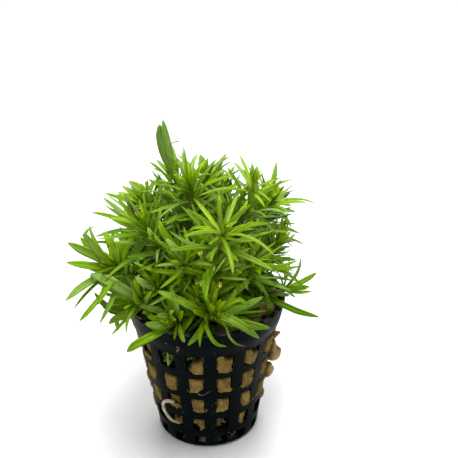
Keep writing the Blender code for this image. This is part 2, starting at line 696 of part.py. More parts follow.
def grow_leaf(growth, key, sections, tip):
    """Draws a leaf out of the upper half of a band's side. Its lowest corner becomes the keel."""
    bm = growth.bm
    low_a, low, high_b, high_a = growth.sides.pop(key)
    side = bm.faces.get((low_a, low, high_b, high_a))
    bmesh.utils.face_split(side, low, high_a)
    corners = (low, high_b, high_a)
    face = bm.faces.get(corners)
    along = high_b.co - high_a.co
    for middle, half, keel in sections:
        order = [face.verts[:].index(corner) for corner in corners]
        face = bmesh.ops.extrude_discrete_faces(bm, faces=[face])["faces"][0]
        corners = [face.verts[i] for i in order]
        flip = 1 if half.dot(along) > 0 else -1
        places = (middle - keel, middle + half * flip, middle - half * flip)
        for corner, place in zip(corners, places):
            corner.co = place
    point = bmesh.ops.poke(bm, faces=[face])["verts"][0]
    point.co = tip


def try_leaf(growth, room, key, tip, width, bow):
    """Grows a leaf on this side if there is room for it."""
    middle, axis, out = growth.side_facing(key)
    length = (tip - middle).length
    sections = leaf_sections(middle, tip, axis, out, width, bow, length < LONG_LEAF)
    trees = []
    inner, half, keel = sections[0]
    for off_stem in (0, NEAR_STEM):
        share = off_stem / (inner - middle).length
        start_half = (half.normalized() * BAND * 0.6).lerp(half, share)
        first = (middle.lerp(inner, share), start_half, keel)
        trees.append(tube_tree([first, *sections], tip, CLEARANCE))
    low, high = bounds([middle, tip, *(m + s * h for m, h, _ in sections for s in (-1, 1))])
    margin = Vector((1, 1, 1)) * (KEEL + 2 * CLEARANCE)
    taken = (growth.shoot.name, *trees, low - margin, high + margin)
    if room.holds(*taken):
        return False
    room.add(*taken)
    grow_leaf(growth, key, sections, tip)
    return True


def grow_described(growth, room, leaves, kinds):
    """Grows the leaves that the front view shows."""
    base = growth.stem.along(growth.bands[kinds[0]])[0]
    for leaf in leaves:
        seen = leaf.across**2 + leaf.up**2
        depth = math.sqrt(max(leaf.length**2 - seen, 0.0)) * leaf.side
        in_view = ACROSS_VIEW * leaf.across + UP_VIEW * leaf.up
        tips = [base + (in_view + TOWARD_VIEW * (depth + shift)) * MM for shift in DEPTH_SHIFTS]
        ways = ((tip, width * MM) for width in (leaf.width, leaf.width * 0.7) for tip in tips)
        if not any(grow_to(growth, room, tip, width, kinds) for tip, width in ways):
            raise ValueError("no room for a leaf of " + growth.shoot.name)


def grow_to(growth, room, tip, width, kinds):
    """Grows a leaf to this tip from one of the free sides that face its way best."""
    way = (tip - growth.stem.along(growth.bands[kinds[0]])[0]).normalized()

    def mismatch(key):
        _, axis, out = growth.side_facing(key)
        wanted = len(kinds) * (1 - max(way.dot(axis), 0)) * 0.9
        band = key[0][1] if key[0][0] == "crown" else wanted
        return -way.dot(out) + 0.12 * abs(band - wanted)

    keys = sorted(growth.free_sides(kinds), key=mismatch)[:SIDES_TRIED]
    return any(try_leaf(growth, room, key, tip, width, bow) for key in keys for bow in BOWS)


def grow_by_rule(growth, room, key, whorl, rng):
    """Grows a leaf on a side as its whorl has them, turned or shortened to find room."""
    _, axis, out = growth.side_facing(key)
    for attempt in range(TRIES):
        angle = math.radians(whorl.rise + rng.uniform(-9, 9) * (1 + 0.4 * attempt))
        swing = math.radians(rng.uniform(-12, 12) * (1 + 0.4 * attempt))
        heading = Matrix.Rotation(swing, 3, axis) @ out
        reach = whorl.length * MM * rng.uniform(0.86, 1.12) * (1 - 0.07 * attempt)
        base = growth.side_facing(key)[0]
        tip = base + (heading * math.cos(angle) + axis * math.sin(angle)) * reach
        tip.z -= 0.08 * reach * math.cos(angle)
        width = min(max(reach * LEAF_WIDTH_SHARE * rng.uniform(0.85, 1.2), 1.1 * MM), 2.9 * MM)
        if try_leaf(growth, room, key, tip, width, rng.uniform(0.03, 0.1)):
            return True
    return False


def grow_shoots(finish, parent, room):
    """Stems first, then the leaves of the front view, then crowns and whorls by rule."""
    rng = random.Random(SEED)
    shoots = (*FRONT_SHOOTS, *BACK_SHOOTS)
    lowest_first = sorted(shoots, key=lambda shoot: shoot.crown[2])
    growths = [raise_stem(shoot, i * TURN_STEP, room) for i, shoot in enumerate(lowest_first)]
    growths.sort(key=lambda growth: shoots.index(growth.shoot))
    for growth in growths:
        grow_described(growth, room, growth.shoot.leaves, growth.crown)
        for down, leaves in growth.shoot.lower:
            grow_described(growth, room, leaves, [("described", down)])
    for growth in growths:
        for key in growth.free_sides(growth.crown):
            grow_by_rule(growth, room, key, CROWN_WHORLS[key[0][1]], rng)
    for i, whorl in enumerate(LOWER_WHORLS):
        for growth in growths:
            for key in growth.free_sides([("whorl", i)]):
                middle, _, out = growth.side_facing(key)
                outward = Vector((middle.x, middle.y, 0)).normalized()
                if out.dot(outward) > MOST_INWARD:
                    grow_by_rule(growth, room, key, whorl, rng)
    for growth in growths:
        name = "shoot_" + growth.shoot.name
        foot = growth.stem.points[0]
        bmesh.ops.translate(growth.bm, verts=growth.bm.verts[:], vec=-foot)
        bmesh.ops.triangulate(growth.bm, faces=growth.bm.faces[:])
        shoot = node(name, mesh_of(growth.bm, name), finish, parent)
        shoot.location = foot


def build():
    clear_scene()
    plant = bpy.data.objects.new("potted_pogostemon", None)
    bpy.context.collection.objects.link(plant)
    pot = net_pot(material("black plastic", (0.012, 0.015, 0.02), 0.42), plant)
    wool = rock_wool(material("rock wool", (0.29, 0.19, 0.075), 0.95), plant)
    root = white_root(material("white root", (0.62, 0.57, 0.42), 0.5), plant)
    room = Room()
    bpy.context.view_layer.update()
    for item in (pot, wool, root):
        room.add_object(item)
    grow_shoots(material("green leaf", (0.13, 0.3, 0.02), 0.45), plant, room)


build()
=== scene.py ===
import math
import random

import bmesh
import bpy
from mathutils import Matrix, Vector, noise
from mathutils.bvhtree import BVHTree


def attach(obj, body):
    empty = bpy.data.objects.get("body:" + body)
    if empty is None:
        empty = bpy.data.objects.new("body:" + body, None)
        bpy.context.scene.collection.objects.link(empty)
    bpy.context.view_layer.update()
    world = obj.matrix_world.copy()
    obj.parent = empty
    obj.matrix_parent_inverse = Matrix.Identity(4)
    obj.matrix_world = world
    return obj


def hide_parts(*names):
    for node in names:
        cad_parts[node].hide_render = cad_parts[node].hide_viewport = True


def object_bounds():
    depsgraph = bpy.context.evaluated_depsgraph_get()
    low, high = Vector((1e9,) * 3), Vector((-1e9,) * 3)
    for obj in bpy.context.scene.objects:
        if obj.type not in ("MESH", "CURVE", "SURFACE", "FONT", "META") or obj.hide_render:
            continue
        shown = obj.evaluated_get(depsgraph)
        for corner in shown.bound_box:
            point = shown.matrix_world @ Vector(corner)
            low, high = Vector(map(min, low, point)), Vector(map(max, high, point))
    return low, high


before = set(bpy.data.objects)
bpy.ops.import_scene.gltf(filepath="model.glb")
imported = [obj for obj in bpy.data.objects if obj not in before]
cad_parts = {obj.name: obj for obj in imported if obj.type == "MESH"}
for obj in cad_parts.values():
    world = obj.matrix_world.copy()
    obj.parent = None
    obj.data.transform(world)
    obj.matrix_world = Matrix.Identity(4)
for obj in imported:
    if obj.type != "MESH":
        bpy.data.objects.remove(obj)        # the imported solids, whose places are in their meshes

CAD_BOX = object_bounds()

# The camera looks down on the pot from the front. The pot stands on a wide pale board in a pale
# room, in the light of a softbox overhead and of a weaker one at the front left, and a third
# softbox lights the board behind it.
MM = 0.001
FULL_TURN = 2 * math.pi
UP = Vector((0, 0, 1))
LOOK_DOWN = math.radians(23.48)
CAMERA_ROLL = math.radians(-0.56)
CAMERA_DISTANCE = 250 * MM
SENSOR = 36  # mm wide, and the lens is in mm too
LENS = 60.08
LOOKED_AT = Vector((8.11, 0, 74.26)) * MM
BOARD_REACH = 3  # metres from its middle to its edges
BOARD_TOP = -0.2 * MM  # a little lower than the pot's base

camera = bpy.data.objects.new("camera", bpy.data.cameras.new("camera"))
camera.data.sensor_width = SENSOR
camera.data.lens = LENS
camera.data.clip_start = 0.01
camera.data.clip_end = 20
backward = Vector((0, -math.cos(LOOK_DOWN), math.sin(LOOK_DOWN)))
camera.location = LOOKED_AT + backward * CAMERA_DISTANCE
turned = backward.to_track_quat("Z", "Y").to_matrix() @ Matrix.Rotation(CAMERA_ROLL, 3, "Z")
camera.rotation_euler = turned.to_euler()
bpy.context.collection.objects.link(camera)
bpy.context.scene.camera = camera


def plain_finish(name, colour, roughness, **values):
    """A material whose shader has these plain values on its own sockets."""
    made = bpy.data.materials.new(name)
    made.use_nodes = True
    shader = made.node_tree.nodes["Principled BSDF"]
    shader.inputs["Base Color"].default_value = (*colour, 1)
    shader.inputs["Roughness"].default_value = roughness
    for socket, value in values.items():
        shader.inputs[socket.replace("_", " ")].default_value = value
    return made


def piece(name, bm, *finishes):
    """A mesh object at the origin, made from a bmesh, with its finishes in its material slots."""
    mesh = bpy.data.meshes.new(name)
    bm.to_mesh(mesh)
    bm.free()
    for finish in finishes:
        mesh.materials.append(finish)
    made = bpy.data.objects.new(name, mesh)
    bpy.context.collection.objects.link(made)
    return made


board_mesh = bmesh.new()
bmesh.ops.create_grid(board_mesh, x_segments=1, y_segments=1, size=BOARD_REACH)
bmesh.ops.translate(board_mesh, verts=board_mesh.verts, vec=UP * BOARD_TOP)
board = piece("floor", board_mesh, plain_finish("pale board", (0.86, 0.86, 0.86), 0.7))

room = bpy.data.worlds.new("pale room")
room.use_nodes = True
room.node_tree.nodes["Background"].inputs["Color"].default_value = (1, 1, 1, 1)
room.node_tree.nodes["Background"].inputs["Strength"].default_value = 0.37
bpy.context.scene.world = room
bpy.context.scene.view_settings.view_transform = "Standard"


def softbox(name, place, width, power, aim=LOOKED_AT):
    """A square area light, in metres and watts, that faces the plant's middle or its own aim."""
    light = bpy.data.lights.new(name, "AREA")
    light.size = width
    light.energy = power
    made = bpy.data.objects.new(name, light)
    made.location = place
    made.rotation_euler = (Vector(place) - aim).to_track_quat("Z", "Y").to_euler()
    bpy.context.collection.objects.link(made)


softbox("overhead softbox", (0.04, -0.03, 0.6), 0.34, 3.9)
softbox("front softbox", (-0.3, -0.5, 0.4), 0.3, 0.95)
softbox("board softbox", (0, 1.0, 0.9), 0.8, 12.0, Vector((0, 0.9, 0)))

# The net pot is one moulding of black polypropylene: a slotted base, a wall of upright ribs and
# level bars with four rows of slots, a row of small slots low down, and a plain flared collar.
POT_COLUMNS = 15
POT_PITCH = FULL_TURN / POT_COLUMNS
FIRST_RIB = math.radians(4.1)  # round from the front
RIB_WIDTH = 3.9 * MM
MOST_RIB_SHARE = 0.3  # of the pitch for half a rib, in the base, where the ribs run together
POT_WALL = 1.1 * MM
SLOT_EDGE_ROUNDING = 0.16 * MM
SHARP_EDGE = math.radians(40)
POT_RINGS = (  # radius and height in mm, and whether slots are open up to the next ring
    (7.0, 0.0, True),
    (16.4, 0.0, False),
    (17.2, 0.3, False),
    (17.8, 1.2, True),
    (18.2, 4.8, False),
    (18.8, 8.1, True),
    (19.5, 13.0, False),
    (20.1, 17.1, True),
    (20.8, 22.0, False),
    (21.4, 25.8, True),
    (22.3, 31.0, False),
    (22.8, 34.2, True),
    (24.2, 40.4, False),
    (24.6, 42.2, False),
    (25.4, 43.0, False),
    (26.2, 46.2, False),
    (26.8, 49.4, False),
    (26.95, 50.0, False),
)
COLUMN_POINTS = 5  # a rib's two edges and its middle, and two more across the slot beside it


def pot_ring_points(radius, height):
    """The points of one ring of the pot, rib by rib."""
    reach = radius * MM
    half = min(RIB_WIDTH / 2 / reach, MOST_RIB_SHARE * POT_PITCH)
    slot = POT_PITCH - 2 * half
    points = []
    for column in range(POT_COLUMNS):
        rib = FIRST_RIB + column * POT_PITCH
        for angle in (-half, 0, half, half + slot / 3, half + slot * 2 / 3):
            turn = rib + angle
            points.append(Vector((reach * math.sin(turn), -reach * math.cos(turn), height * MM)))
    return points


def draw_out(bm, verts, points):
    """Extrudes the open edge through verts to points, and returns the new verts in that order."""
    count = len(verts)
    edges = [bm.edges.get((verts[j], verts[(j + 1) % count])) for j in range(count)]
    fresh = bmesh.ops.extrude_edge_only(bm, edges=edges)["geom"]
    fresh = {item for item in fresh if isinstance(item, bmesh.types.BMVert)}
    moved = []
    for old, point in zip(verts, points):
        new = next(e.other_vert(old) for e in old.link_edges if e.other_vert(old) in fresh)
        new.co = point
        moved.append(new)
    return moved


def first_ring(bm, points):
    """A flat face with its corners at points, to draw a shell or a tube out of. Gives its corners."""
    verts = bmesh.ops.create_circle(bm, segments=len(points), radius=1, cap_ends=True)["verts"]
    for vert, point in zip(verts, points):
        vert.co = point
    return verts


pot_mesh = bmesh.new()
verts = first_ring(pot_mesh, pot_ring_points(*POT_RINGS[0][:2]))
slot_faces = []
for (_, _, slotted), (radius, height, _) in zip(POT_RINGS, POT_RINGS[1:]):
    above = draw_out(pot_mesh, verts, pot_ring_points(radius, height))
    for j in range(len(verts)):
        k = (j + 1) % len(verts)
        if slotted and j % COLUMN_POINTS >= 2:
            slot_faces.append(pot_mesh.faces.get((verts[j], verts[k], above[k], above[j])))
    verts = above
bmesh.ops.delete(pot_mesh, geom=slot_faces, context="FACES_ONLY")
bmesh.ops.recalc_face_normals(pot_mesh, faces=pot_mesh.faces[:])
bmesh.ops.solidify(pot_mesh, geom=pot_mesh.faces[:], thickness=POT_WALL)
bmesh.ops.recalc_face_normals(pot_mesh, faces=pot_mesh.faces[:])
bmesh.ops.bevel(
    pot_mesh, geom=[edge for edge in pot_mesh.edges if edge.calc_face_angle(0) > SHARP_EDGE],
    offset=SLOT_EDGE_ROUNDING, offset_type="OFFSET", segments=2, profile=0.5, affect="EDGES",
    clamp_overlap=True, material=-1,
)


class Nodes:
    """Adds nodes to a material or a node group and links them, so that a finish reads in order."""

    def __init__(self, tree):
        self.tree = tree

    def add(self, kind, out=0, settings=None, **inputs):
        """Adds a node, sets it, and sets or links its inputs by name or number. Gives one output."""
        made = self.tree.nodes.new("ShaderNode" + kind)
        for setting, value in (settings or {}).items():
            setattr(made, setting, value)
        for name, value in inputs.items():
            socket = made.inputs[int(name[1:]) if name[1:].isdigit() else name.replace("_", " ")]
            if isinstance(value, bpy.types.NodeSocket):
                self.tree.links.new(value, socket)
            else:
                socket.default_value = value
        return made.outputs[out]

    def math(self, operation, first, second=0.0):
        return self.add("Math", settings={"operation": operation}, _0=first, _1=second)

    def plus(self, first, second):
        return self.math("ADD", first, second)

    def times(self, first, second):
        return self.math("MULTIPLY", first, second)

    def apart(self, value, middle):
        """How far value is from middle, on either side of it."""
        return self.math("ABSOLUTE", self.math("SUBTRACT", value, middle))

    def between(self, value, low, high, start=0.0, end=1.0):
        """start where value is below low, end where it is over high, and a soft step between."""
        return self.add(
            "MapRange", settings={"interpolation_type": "SMOOTHSTEP"}, Value=value,
            From_Min=low, From_Max=high, To_Min=start, To_Max=end,
        )

    def mix(self, share, first, second, blend="MIX"):
        kind = {"data_type": "RGBA", "blend_type": blend}
        return self.add("Mix", out=2, settings=kind, _0=share, _6=first, _7=second)

    def noise(self, place, scale, detail=3.0, roughness=0.5):
        return self.add("TexNoise", Vector=place, Scale=scale, Detail=detail, Roughness=roughness)

    def ramp(self, value, *stops):
        """A colour ramp with these stops of (place, colour)."""
        made = self.tree.nodes.new("ShaderNodeValToRGB")
        ends = made.color_ramp.elements
        for i, (place, colour) in enumerate(stops):
            stop = ends[i] if i < 2 else ends.new(place)
            stop.position = place
            stop.color = (*colour, 1)
        self.tree.links.new(value, made.inputs[0])
        return made.outputs[0]


def patterns_of(material):
    """The nodes of a material, and the place on its piece, which its patterns read."""
    nodes = Nodes(material.node_tree)
    return nodes, nodes.add("TexCoord", out="Object")


def feed(material, source, socket):
    """Links an output to a socket of the material's shader."""
    shader = material.node_tree.nodes["Principled BSDF"]
    material.node_tree.links.new(source, shader.inputs[socket])


pot_plastic = plain_finish("black polypropylene", (0.002, 0.003, 0.004), 0.3, Specular_IOR_Level=0.02)
nodes, place = patterns_of(pot_plastic)
cloudy = nodes.noise(place, 90, 4)
speck = nodes.between(nodes.noise(place, 1500, 1), 0.72, 0.76)
patchy = nodes.between(nodes.noise(place, 160, 2), 0.5, 0.62)
tinted = nodes.mix(cloudy, (0.0004, 0.0018, 0.0017, 1), (0.0018, 0.0036, 0.0036, 1))
tinted = nodes.mix(nodes.times(speck, patchy), tinted, (0.16, 0.15, 0.13, 1))
height = nodes.add("SeparateXYZ", out=2, Vector=place)
# Painted highlight: a pale grey line, broken by noise, along the top edge of the rim.
rim = nodes.between(height, 49.5 * MM, 49.9 * MM, 0.0, 0.8)
painted_rim_highlight = nodes.times(rim, nodes.between(nodes.noise(place, 240, 3), 0.4, 0.6))
feed(pot_plastic, nodes.mix(painted_rim_highlight, tinted, (0.06, 0.07, 0.07, 1)), "Base Color")
feed(pot_plastic, nodes.between(cloudy, 0.3, 0.7, 0.36, 0.52), "Roughness")
grain = nodes.add("Bump", Strength=0.12, Distance=0.0001, Height=nodes.noise(place, 2600, 2))
feed(pot_plastic, grain, "Normal")
pot = piece("moulded_pot", pot_mesh, pot_plastic)
pot.data.shade_smooth()
pot.data.set_sharp_from_angle(angle=math.radians(35))
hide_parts("net_pot")
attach(pot, "root")

# The rock wool block is a plug of tan mineral fibre, pushed into the pot until it swells out of
# the slots. The right side swells most: a ragged spike, a big bulb and a smaller one below it.
WOOL_VOXEL = 0.4 * MM
WOOL_SWELLING = 0.3 * MM  # all over, under its relief
WOOL_UNDER_RIBS = 0.08 * MM  # between the wool and the inside of the ribs and bars
WOOL_HEART = 12 * MM  # from the axis, and no hollow is deeper than this
HEART_SLOPE = 4 * MM  # further out, a hollow may have its full depth
WOOL_LUMPS = (  # angle from the front in degrees, radius and height in mm, half sizes across and up
    (87, 22.0, 30.6, 2.0, 3.0),
    (88, 22.7, 27.2, 2.8, 2.5),
    (87, 22.4, 34.7, 1.7, 1.5),
    (88, 23.8, 35.1, 1.1, 0.9),
    (88, 24.8, 35.4, 0.7, 0.55),
    (88, 20.9, 20.6, 2.1, 2.5),
    (84, 21.0, 22.8, 1.8, 1.5),
    (89, 18.4, 10.6, 1.4, 2.2),
    (111, 21.3, 28.4, 2.2, 2.7),
    (-96, 20.9, 27.4, 1.6, 2.6),
    (-84, 19.8, 20.0, 1.5, 2.3),
    (58, 18.6, 46.6, 2.6, 2.6),
    (70, 19.4, 48.0, 2.4, 2.8),
    (83, 19.8, 47.4, 2.6, 2.6),
    (95, 19.6, 48.2, 2.4, 2.4),
    (78, 21.0, 46.6, 2.4, 2.2),
    (90, 22.2, 46.6, 2.4, 2.2),
    (100, 22.2, 48.0, 2.6, 2.6),
    (112, 22.3, 48.8, 2.6, 2.4),
    (124, 21.0, 48.0, 2.8, 2.4),
)
WOOL_HOLLOWS = (  # angle in degrees and height in mm of the middle, half sizes, and depth in mm
    (-31.9, 37.3, 8.5, 4.0, 5.0),
    (-10.5, 40.2, 9.0, 2.0, 4.5),
    (-14.0, 37.6, 3.6, 2.4, 3.5),
    (20.5, 40.2, 5.0, 1.5, 2.5),
    (44.0, 40.0, 4.5, 1.7, 2.5),
    (-34.5, 12.5, 4.5, 2.5, 4.0),
    (-12.5, 8.2, 5.0, 2.6, 4.0),
    (20.3, 9.6, 4.0, 3.6, 4.0),
    (44.5, 9.8, 4.0, 3.4, 4.0),
)
BAR_EDGE = 0.1 * MM  # less than this inside a slot, the wool is under a bar or a rib
SQUEEZED_OUT = 0.25 * MM  # past the pot's wall, it is over the bar or rib instead
PILLOW_EDGE = 0.7 * MM  # how far in from a slot's edge the wool reaches its full swell
MOST_SWELL = 0.35 * MM  # past the pot's wall, but for the lumps
SMOOTH_TUFT = 0.85 * MM  # past the wall, the wool is a tuft that is combed smooth
COMBED = 0.45  # the relief of such a tuft, as a share of the relief elsewhere
HARD_BY = 1.3  # times a lump's size from its middle, the wool still belongs to it
HOLLOW_EDGE = 1.15  # times a hollow's size from its middle, the hollow ends
HOLLOW_SLOPE = 0.35  # of its size further in, it has its full depth
WOOL_RELIEF = (  # how many waves there are in a metre along x, y and z, and their height in mm
    ((260, 260, 260), 0.4),
    ((620, 620, 620), 0.3),
    ((1300, 1300, 1300), 0.2),
    ((2400, 2400, 900), 0.16),
)
LARGE_SLOT_ROWS = 4
slot_rows = [(lower, upper) for lower, upper in zip(POT_RINGS, POT_RINGS[1:]) if lower[2]]
slot_rows = slot_rows[-LARGE_SLOT_ROWS:]  # the rings below and above each row, from the lowest up
slots_top = max(upper[1] for _, upper in slot_rows) * MM


def around_pot(angle, radius, height):
    """The point this far round from the front, out from the axis and up, in degrees and mm."""
    turn = math.radians(angle)
    return Vector((radius * math.sin(turn), -radius * math.cos(turn), height)) * MM


def share_of(value, start, span):
    """How far value is past start, as a share of span, from 0 to 1."""
    return min(1, max(0, (value - start) / span))


def add_lump(bm, half_sizes, place, angle=0.0):
    """A rounded lump, turned to face this many degrees round from the front."""
    lump = bmesh.ops.create_icosphere(bm, subdivisions=3, radius=1)["verts"]
    bmesh.ops.scale(bm, verts=lump, vec=half_sizes)
    bmesh.ops.rotate(bm, verts=lump, matrix=Matrix.Rotation(math.radians(angle), 3, "Z"))
    bmesh.ops.translate(bm, verts=lump, vec=place)


wool_mesh = bmesh.new()
wool_mesh.from_mesh(bpy.data.objects["rock_wool"].data)
bmesh.ops.remove_doubles(wool_mesh, verts=wool_mesh.verts, dist=0.002 * MM)
for angle, radius, height, across, up in WOOL_LUMPS:
    add_lump(wool_mesh, (across * MM, across * MM, up * MM), around_pot(angle, radius, height))
sagging = random.Random(3)
for (radius, sill, _), _ in slot_rows[1:]:
    for column in range(POT_COLUMNS):
        angle = math.degrees(FIRST_RIB + (column + 0.5) * POT_PITCH) + sagging.uniform(-3, 3)
        place = around_pot(angle, radius + 0.05, sill + sagging.uniform(-0.25, 0.35))
        half_sizes = (sagging.uniform(1.4, 2.6) * MM, 0.6 * MM, sagging.uniform(0.6, 1.0) * MM)
        add_lump(wool_mesh, half_sizes, place, angle)
wool_block = piece("wool_block", wool_mesh)
remesh = wool_block.modifiers.new("one body", "REMESH")
remesh.mode = "VOXEL"
remesh.voxel_size = WOOL_VOXEL
soften = wool_block.modifiers.new("soft corners", "SMOOTH")
soften.factor = 0.5
soften.iterations = 2
seen = bpy.context.evaluated_depsgraph_get()
wool_mesh = bmesh.new()
wool_mesh.from_object(wool_block, seen)
wool_block.modifiers.clear()
wool_mesh.normal_update()


def wall_at(place):
    """The pot's outer radius at a place's height, and how far inside a slot the place is. A slot's
    lower edge doesn't count, because the wool sags onto it."""
    height = place.z / MM
    (low_radius, low, slotted), (high_radius, high, _) = next(
        ((a, b) for a, b in zip(POT_RINGS, POT_RINGS[1:]) if a[1] <= height < b[1]), POT_RINGS[-2:],
    )
    share = (height - low) / (high - low)
    radius = low_radius + (high_radius - low_radius) * share
    rib = (math.atan2(place.x, -place.y) - FIRST_RIB + POT_PITCH / 2) % POT_PITCH - POT_PITCH / 2
    side = abs(rib) * radius - RIB_WIDTH / MM / 2
    inside = min(high - height, side) if slotted else -1
    return radius * MM, inside * MM


def in_lump(place):
    """Whether a place is in one of the lumps that stand out of the slots, or hard by it."""
    for angle, radius, height, across, up in WOOL_LUMPS:
        off = (place - around_pot(angle, radius, height)) / MM
        if math.hypot(off.x / across, off.y / across, off.z / up) < HARD_BY:
            return True
    return False


def hollow_at(place):
    """How deep the wool is sunk at a place."""
    angle = math.degrees(math.atan2(place.x, -place.y))
    depth = 0
    for middle, height, across, up, most in WOOL_HOLLOWS:
        away = math.hypot((angle - middle) / across, (place.z / MM - height) / up)
        depth = max(depth, most * MM * share_of(HOLLOW_EDGE - away, 0, HOLLOW_SLOPE))
    return depth


# The mark holds the painted shade of each hollow, and how pale the wool is: paler where a tuft stands out of
# a slot, and painted light on the top of the block, strongest at the right. The wool's finish reads it.
painted_shade_and_pale_tufts = wool_mesh.verts.layers.float_color.new("painted_shade_and_pale_tufts")
for vert in wool_mesh.verts:
    relief = sum(noise.noise(vert.co * Vector(waves)) * high for waves, high in WOOL_RELIEF)
    radius, inside = wall_at(vert.co)
    combed = COMBED if math.hypot(vert.co.x, vert.co.y) > radius + SMOOTH_TUFT else 1
    vert.co += vert.normal * (WOOL_SWELLING + relief * combed * MM)
    if vert.co.z >= slots_top:
        # Painted light: the top of the block is painted paler, more and more towards the right.
        vert[painted_shade_and_pale_tufts] = (0, 0.4 + 0.9 * share_of(vert.co.x, 0, 12 * MM), 0, 1)
        continue
    reach = math.hypot(vert.co.x, vert.co.y)
    kept = reach
    inner = radius - POT_WALL - WOOL_UNDER_RIBS
    if inside < BAR_EDGE and reach < radius + SQUEEZED_OUT:
        kept = min(reach, inner)
    elif reach > inner and not in_lump(vert.co):
        swell = math.sin(math.pi / 2 * min(1, inside / PILLOW_EDGE)) if inside > 0 else 1
        kept = inner + (min(reach, radius + MOST_SWELL) - inner) * swell
    hollow = hollow_at(vert.co)
    kept -= hollow * share_of(reach, WOOL_HEART, HEART_SLOPE)
    # Its first channel is painted shade, darkest in the deepest hollows; its second is how far the wool
    # stands out past the wall, which makes it paler.
    vert[painted_shade_and_pale_tufts] = (share_of(hollow, 0, 2 * MM), share_of(kept - radius, 0.4 * MM, 1.5 * MM), 0, 1)
    vert.co.x *= kept / reach
    vert.co.y *= kept / reach
wool_mesh.to_mesh(wool_block.data)
wool_mesh.free()
wool_block.data.shade_smooth()
wool_finish = plain_finish("tan rock wool", (0.24, 0.15, 0.045), 0.95, Specular_IOR_Level=0.15)
nodes, place = patterns_of(wool_finish)
drawn = nodes.add("Mapping", Vector=place, Rotation=(0.5, 0.4, 0.0), Scale=(1.0, 1.0, 0.3))
fibres = nodes.noise(drawn, 1900, 5, 0.7)
crumbs = nodes.noise(place, 900, 4, 0.65)
patches = nodes.noise(place, 230, 4, 0.6)
tan = nodes.ramp(
    patches, (0.3, (0.08, 0.052, 0.01)), (0.68, (0.25, 0.17, 0.038)), (0.5, (0.155, 0.101, 0.02)),
)
tan = nodes.mix(nodes.between(crumbs, 0.3, 0.45, 0.6, 0.0), tan, (0.06, 0.036, 0.009, 1))
tan = nodes.mix(nodes.between(crumbs, 0.56, 0.68, 0.0, 0.5), tan, (0.38, 0.29, 0.1, 1))
pale = nodes.mix(nodes.between(fibres, 0.54, 0.74, 0.0, 0.6), tan, (0.45, 0.35, 0.16, 1))
dark = nodes.between(fibres, 0.26, 0.44, 0.45, 0.0)
tan = nodes.mix(dark, pale, (0.05, 0.032, 0.01, 1))
painted_shade_and_pale_tufts = nodes.add("Attribute", out="Color", settings={"attribute_name": "painted_shade_and_pale_tufts"})
hollow, pale_tuft_and_painted_light, _ = nodes.add("SeparateColor", Color=painted_shade_and_pale_tufts).node.outputs
# Pale tufts, and painted light on the top of the block.
tan = nodes.mix(nodes.times(pale_tuft_and_painted_light, 0.75), tan, (0.5, 0.35, 0.15, 1))
# Painted shade: the hollows are painted nearly black.
feed(wool_finish, nodes.mix(hollow, tan, (0.012, 0.009, 0.004, 1)), "Base Color")
relief = nodes.add("Bump", Strength=0.8, Distance=0.0005, Height=nodes.plus(fibres, crumbs))
feed(wool_finish, relief, "Normal")
wool_block.data.materials.append(wool_finish)
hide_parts("rock_wool")
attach(wool_block, "root")

# Loose ends of the fibre stand off the swollen wool and lie over the edges of the slots, and a few
# long ones cross the bars. Each is a thin tapered thread.
WISPS_IN_A_SLOT = 8
THREAD = 0.06 * MM
OUTSIDE_POT = 32  # mm from the axis, where the search for the wool's skin starts
SEARCHED = 16 * MM  # how far inwards it goes
INNERMOST_WISP = 17 * MM  # from the axis
LONG_THREADS = (  # angle from the front, radius and height in mm of each thread's points
    ((-8.5, 21.9, 27.0), (-6.0, 21.9, 25.0), (-2.0, 21.8, 24.6), (2.8, 21.9, 25.9), (5.2, 22.0, 26.6)),
    ((43.2, 20.6, 16.6), (46.5, 20.7, 17.0), (50.2, 20.7, 17.1), (53.6, 20.4, 15.9)),
    ((84.0, 24.6, 35.6), (88.0, 25.4, 35.6), (91.0, 25.9, 35.2)),
)


def through(points, steps):
    """A smooth line through the points, with this many steps between two of them."""
    ends = [points[0] * 2 - points[1], *points, points[-1] * 2 - points[-2]]
    line = []
    for a, b, c, d in zip(ends, ends[1:], ends[2:], ends[3:]):
        for i in range(steps):
            t = i / steps
            line.append((
                b * 2 + (c - a) * t + (a * 2 - b * 5 + c * 4 - d) * t * t
                + (b * 3 - a - c * 3 + d) * t * t * t
            ) / 2)
    return [*line, points[-1]]


def tube(bm, line, radii, sides, finish=0):
    """A closed tube along a line, drawn out ring by ring."""
    before = set(bm.faces)
    first = (line[1] - line[0]).normalized()
    aside = first.orthogonal().normalized()
    verts = None
    for i, (point, radius) in enumerate(zip(line, radii)):
        ahead = (line[min(i + 1, len(line) - 1)] - line[max(i - 1, 0)]).normalized()
        aside = (aside - ahead * aside.dot(ahead)).normalized()
        out = ahead.cross(aside)
        ring = []
        for j in range(sides):
            angle = j * FULL_TURN / sides
            ring.append(point + (aside * math.cos(angle) + out * math.sin(angle)) * radius)
        verts = first_ring(bm, ring) if verts is None else draw_out(bm, verts, ring)
    bmesh.ops.contextual_create(bm, geom=verts)
    made = [face for face in bm.faces if face not in before]
    bmesh.ops.recalc_face_normals(bm, faces=made)
    for face in made:
        face.material_index = finish
        face.smooth = True


def thread(bm, line, radius):
    """A three-sided thread that thins to a fifth at its far end."""
    radii = [radius * (1 - 0.8 * i / (len(line) - 1)) for i in range(len(line))]
    tube(bm, line, radii, 3)


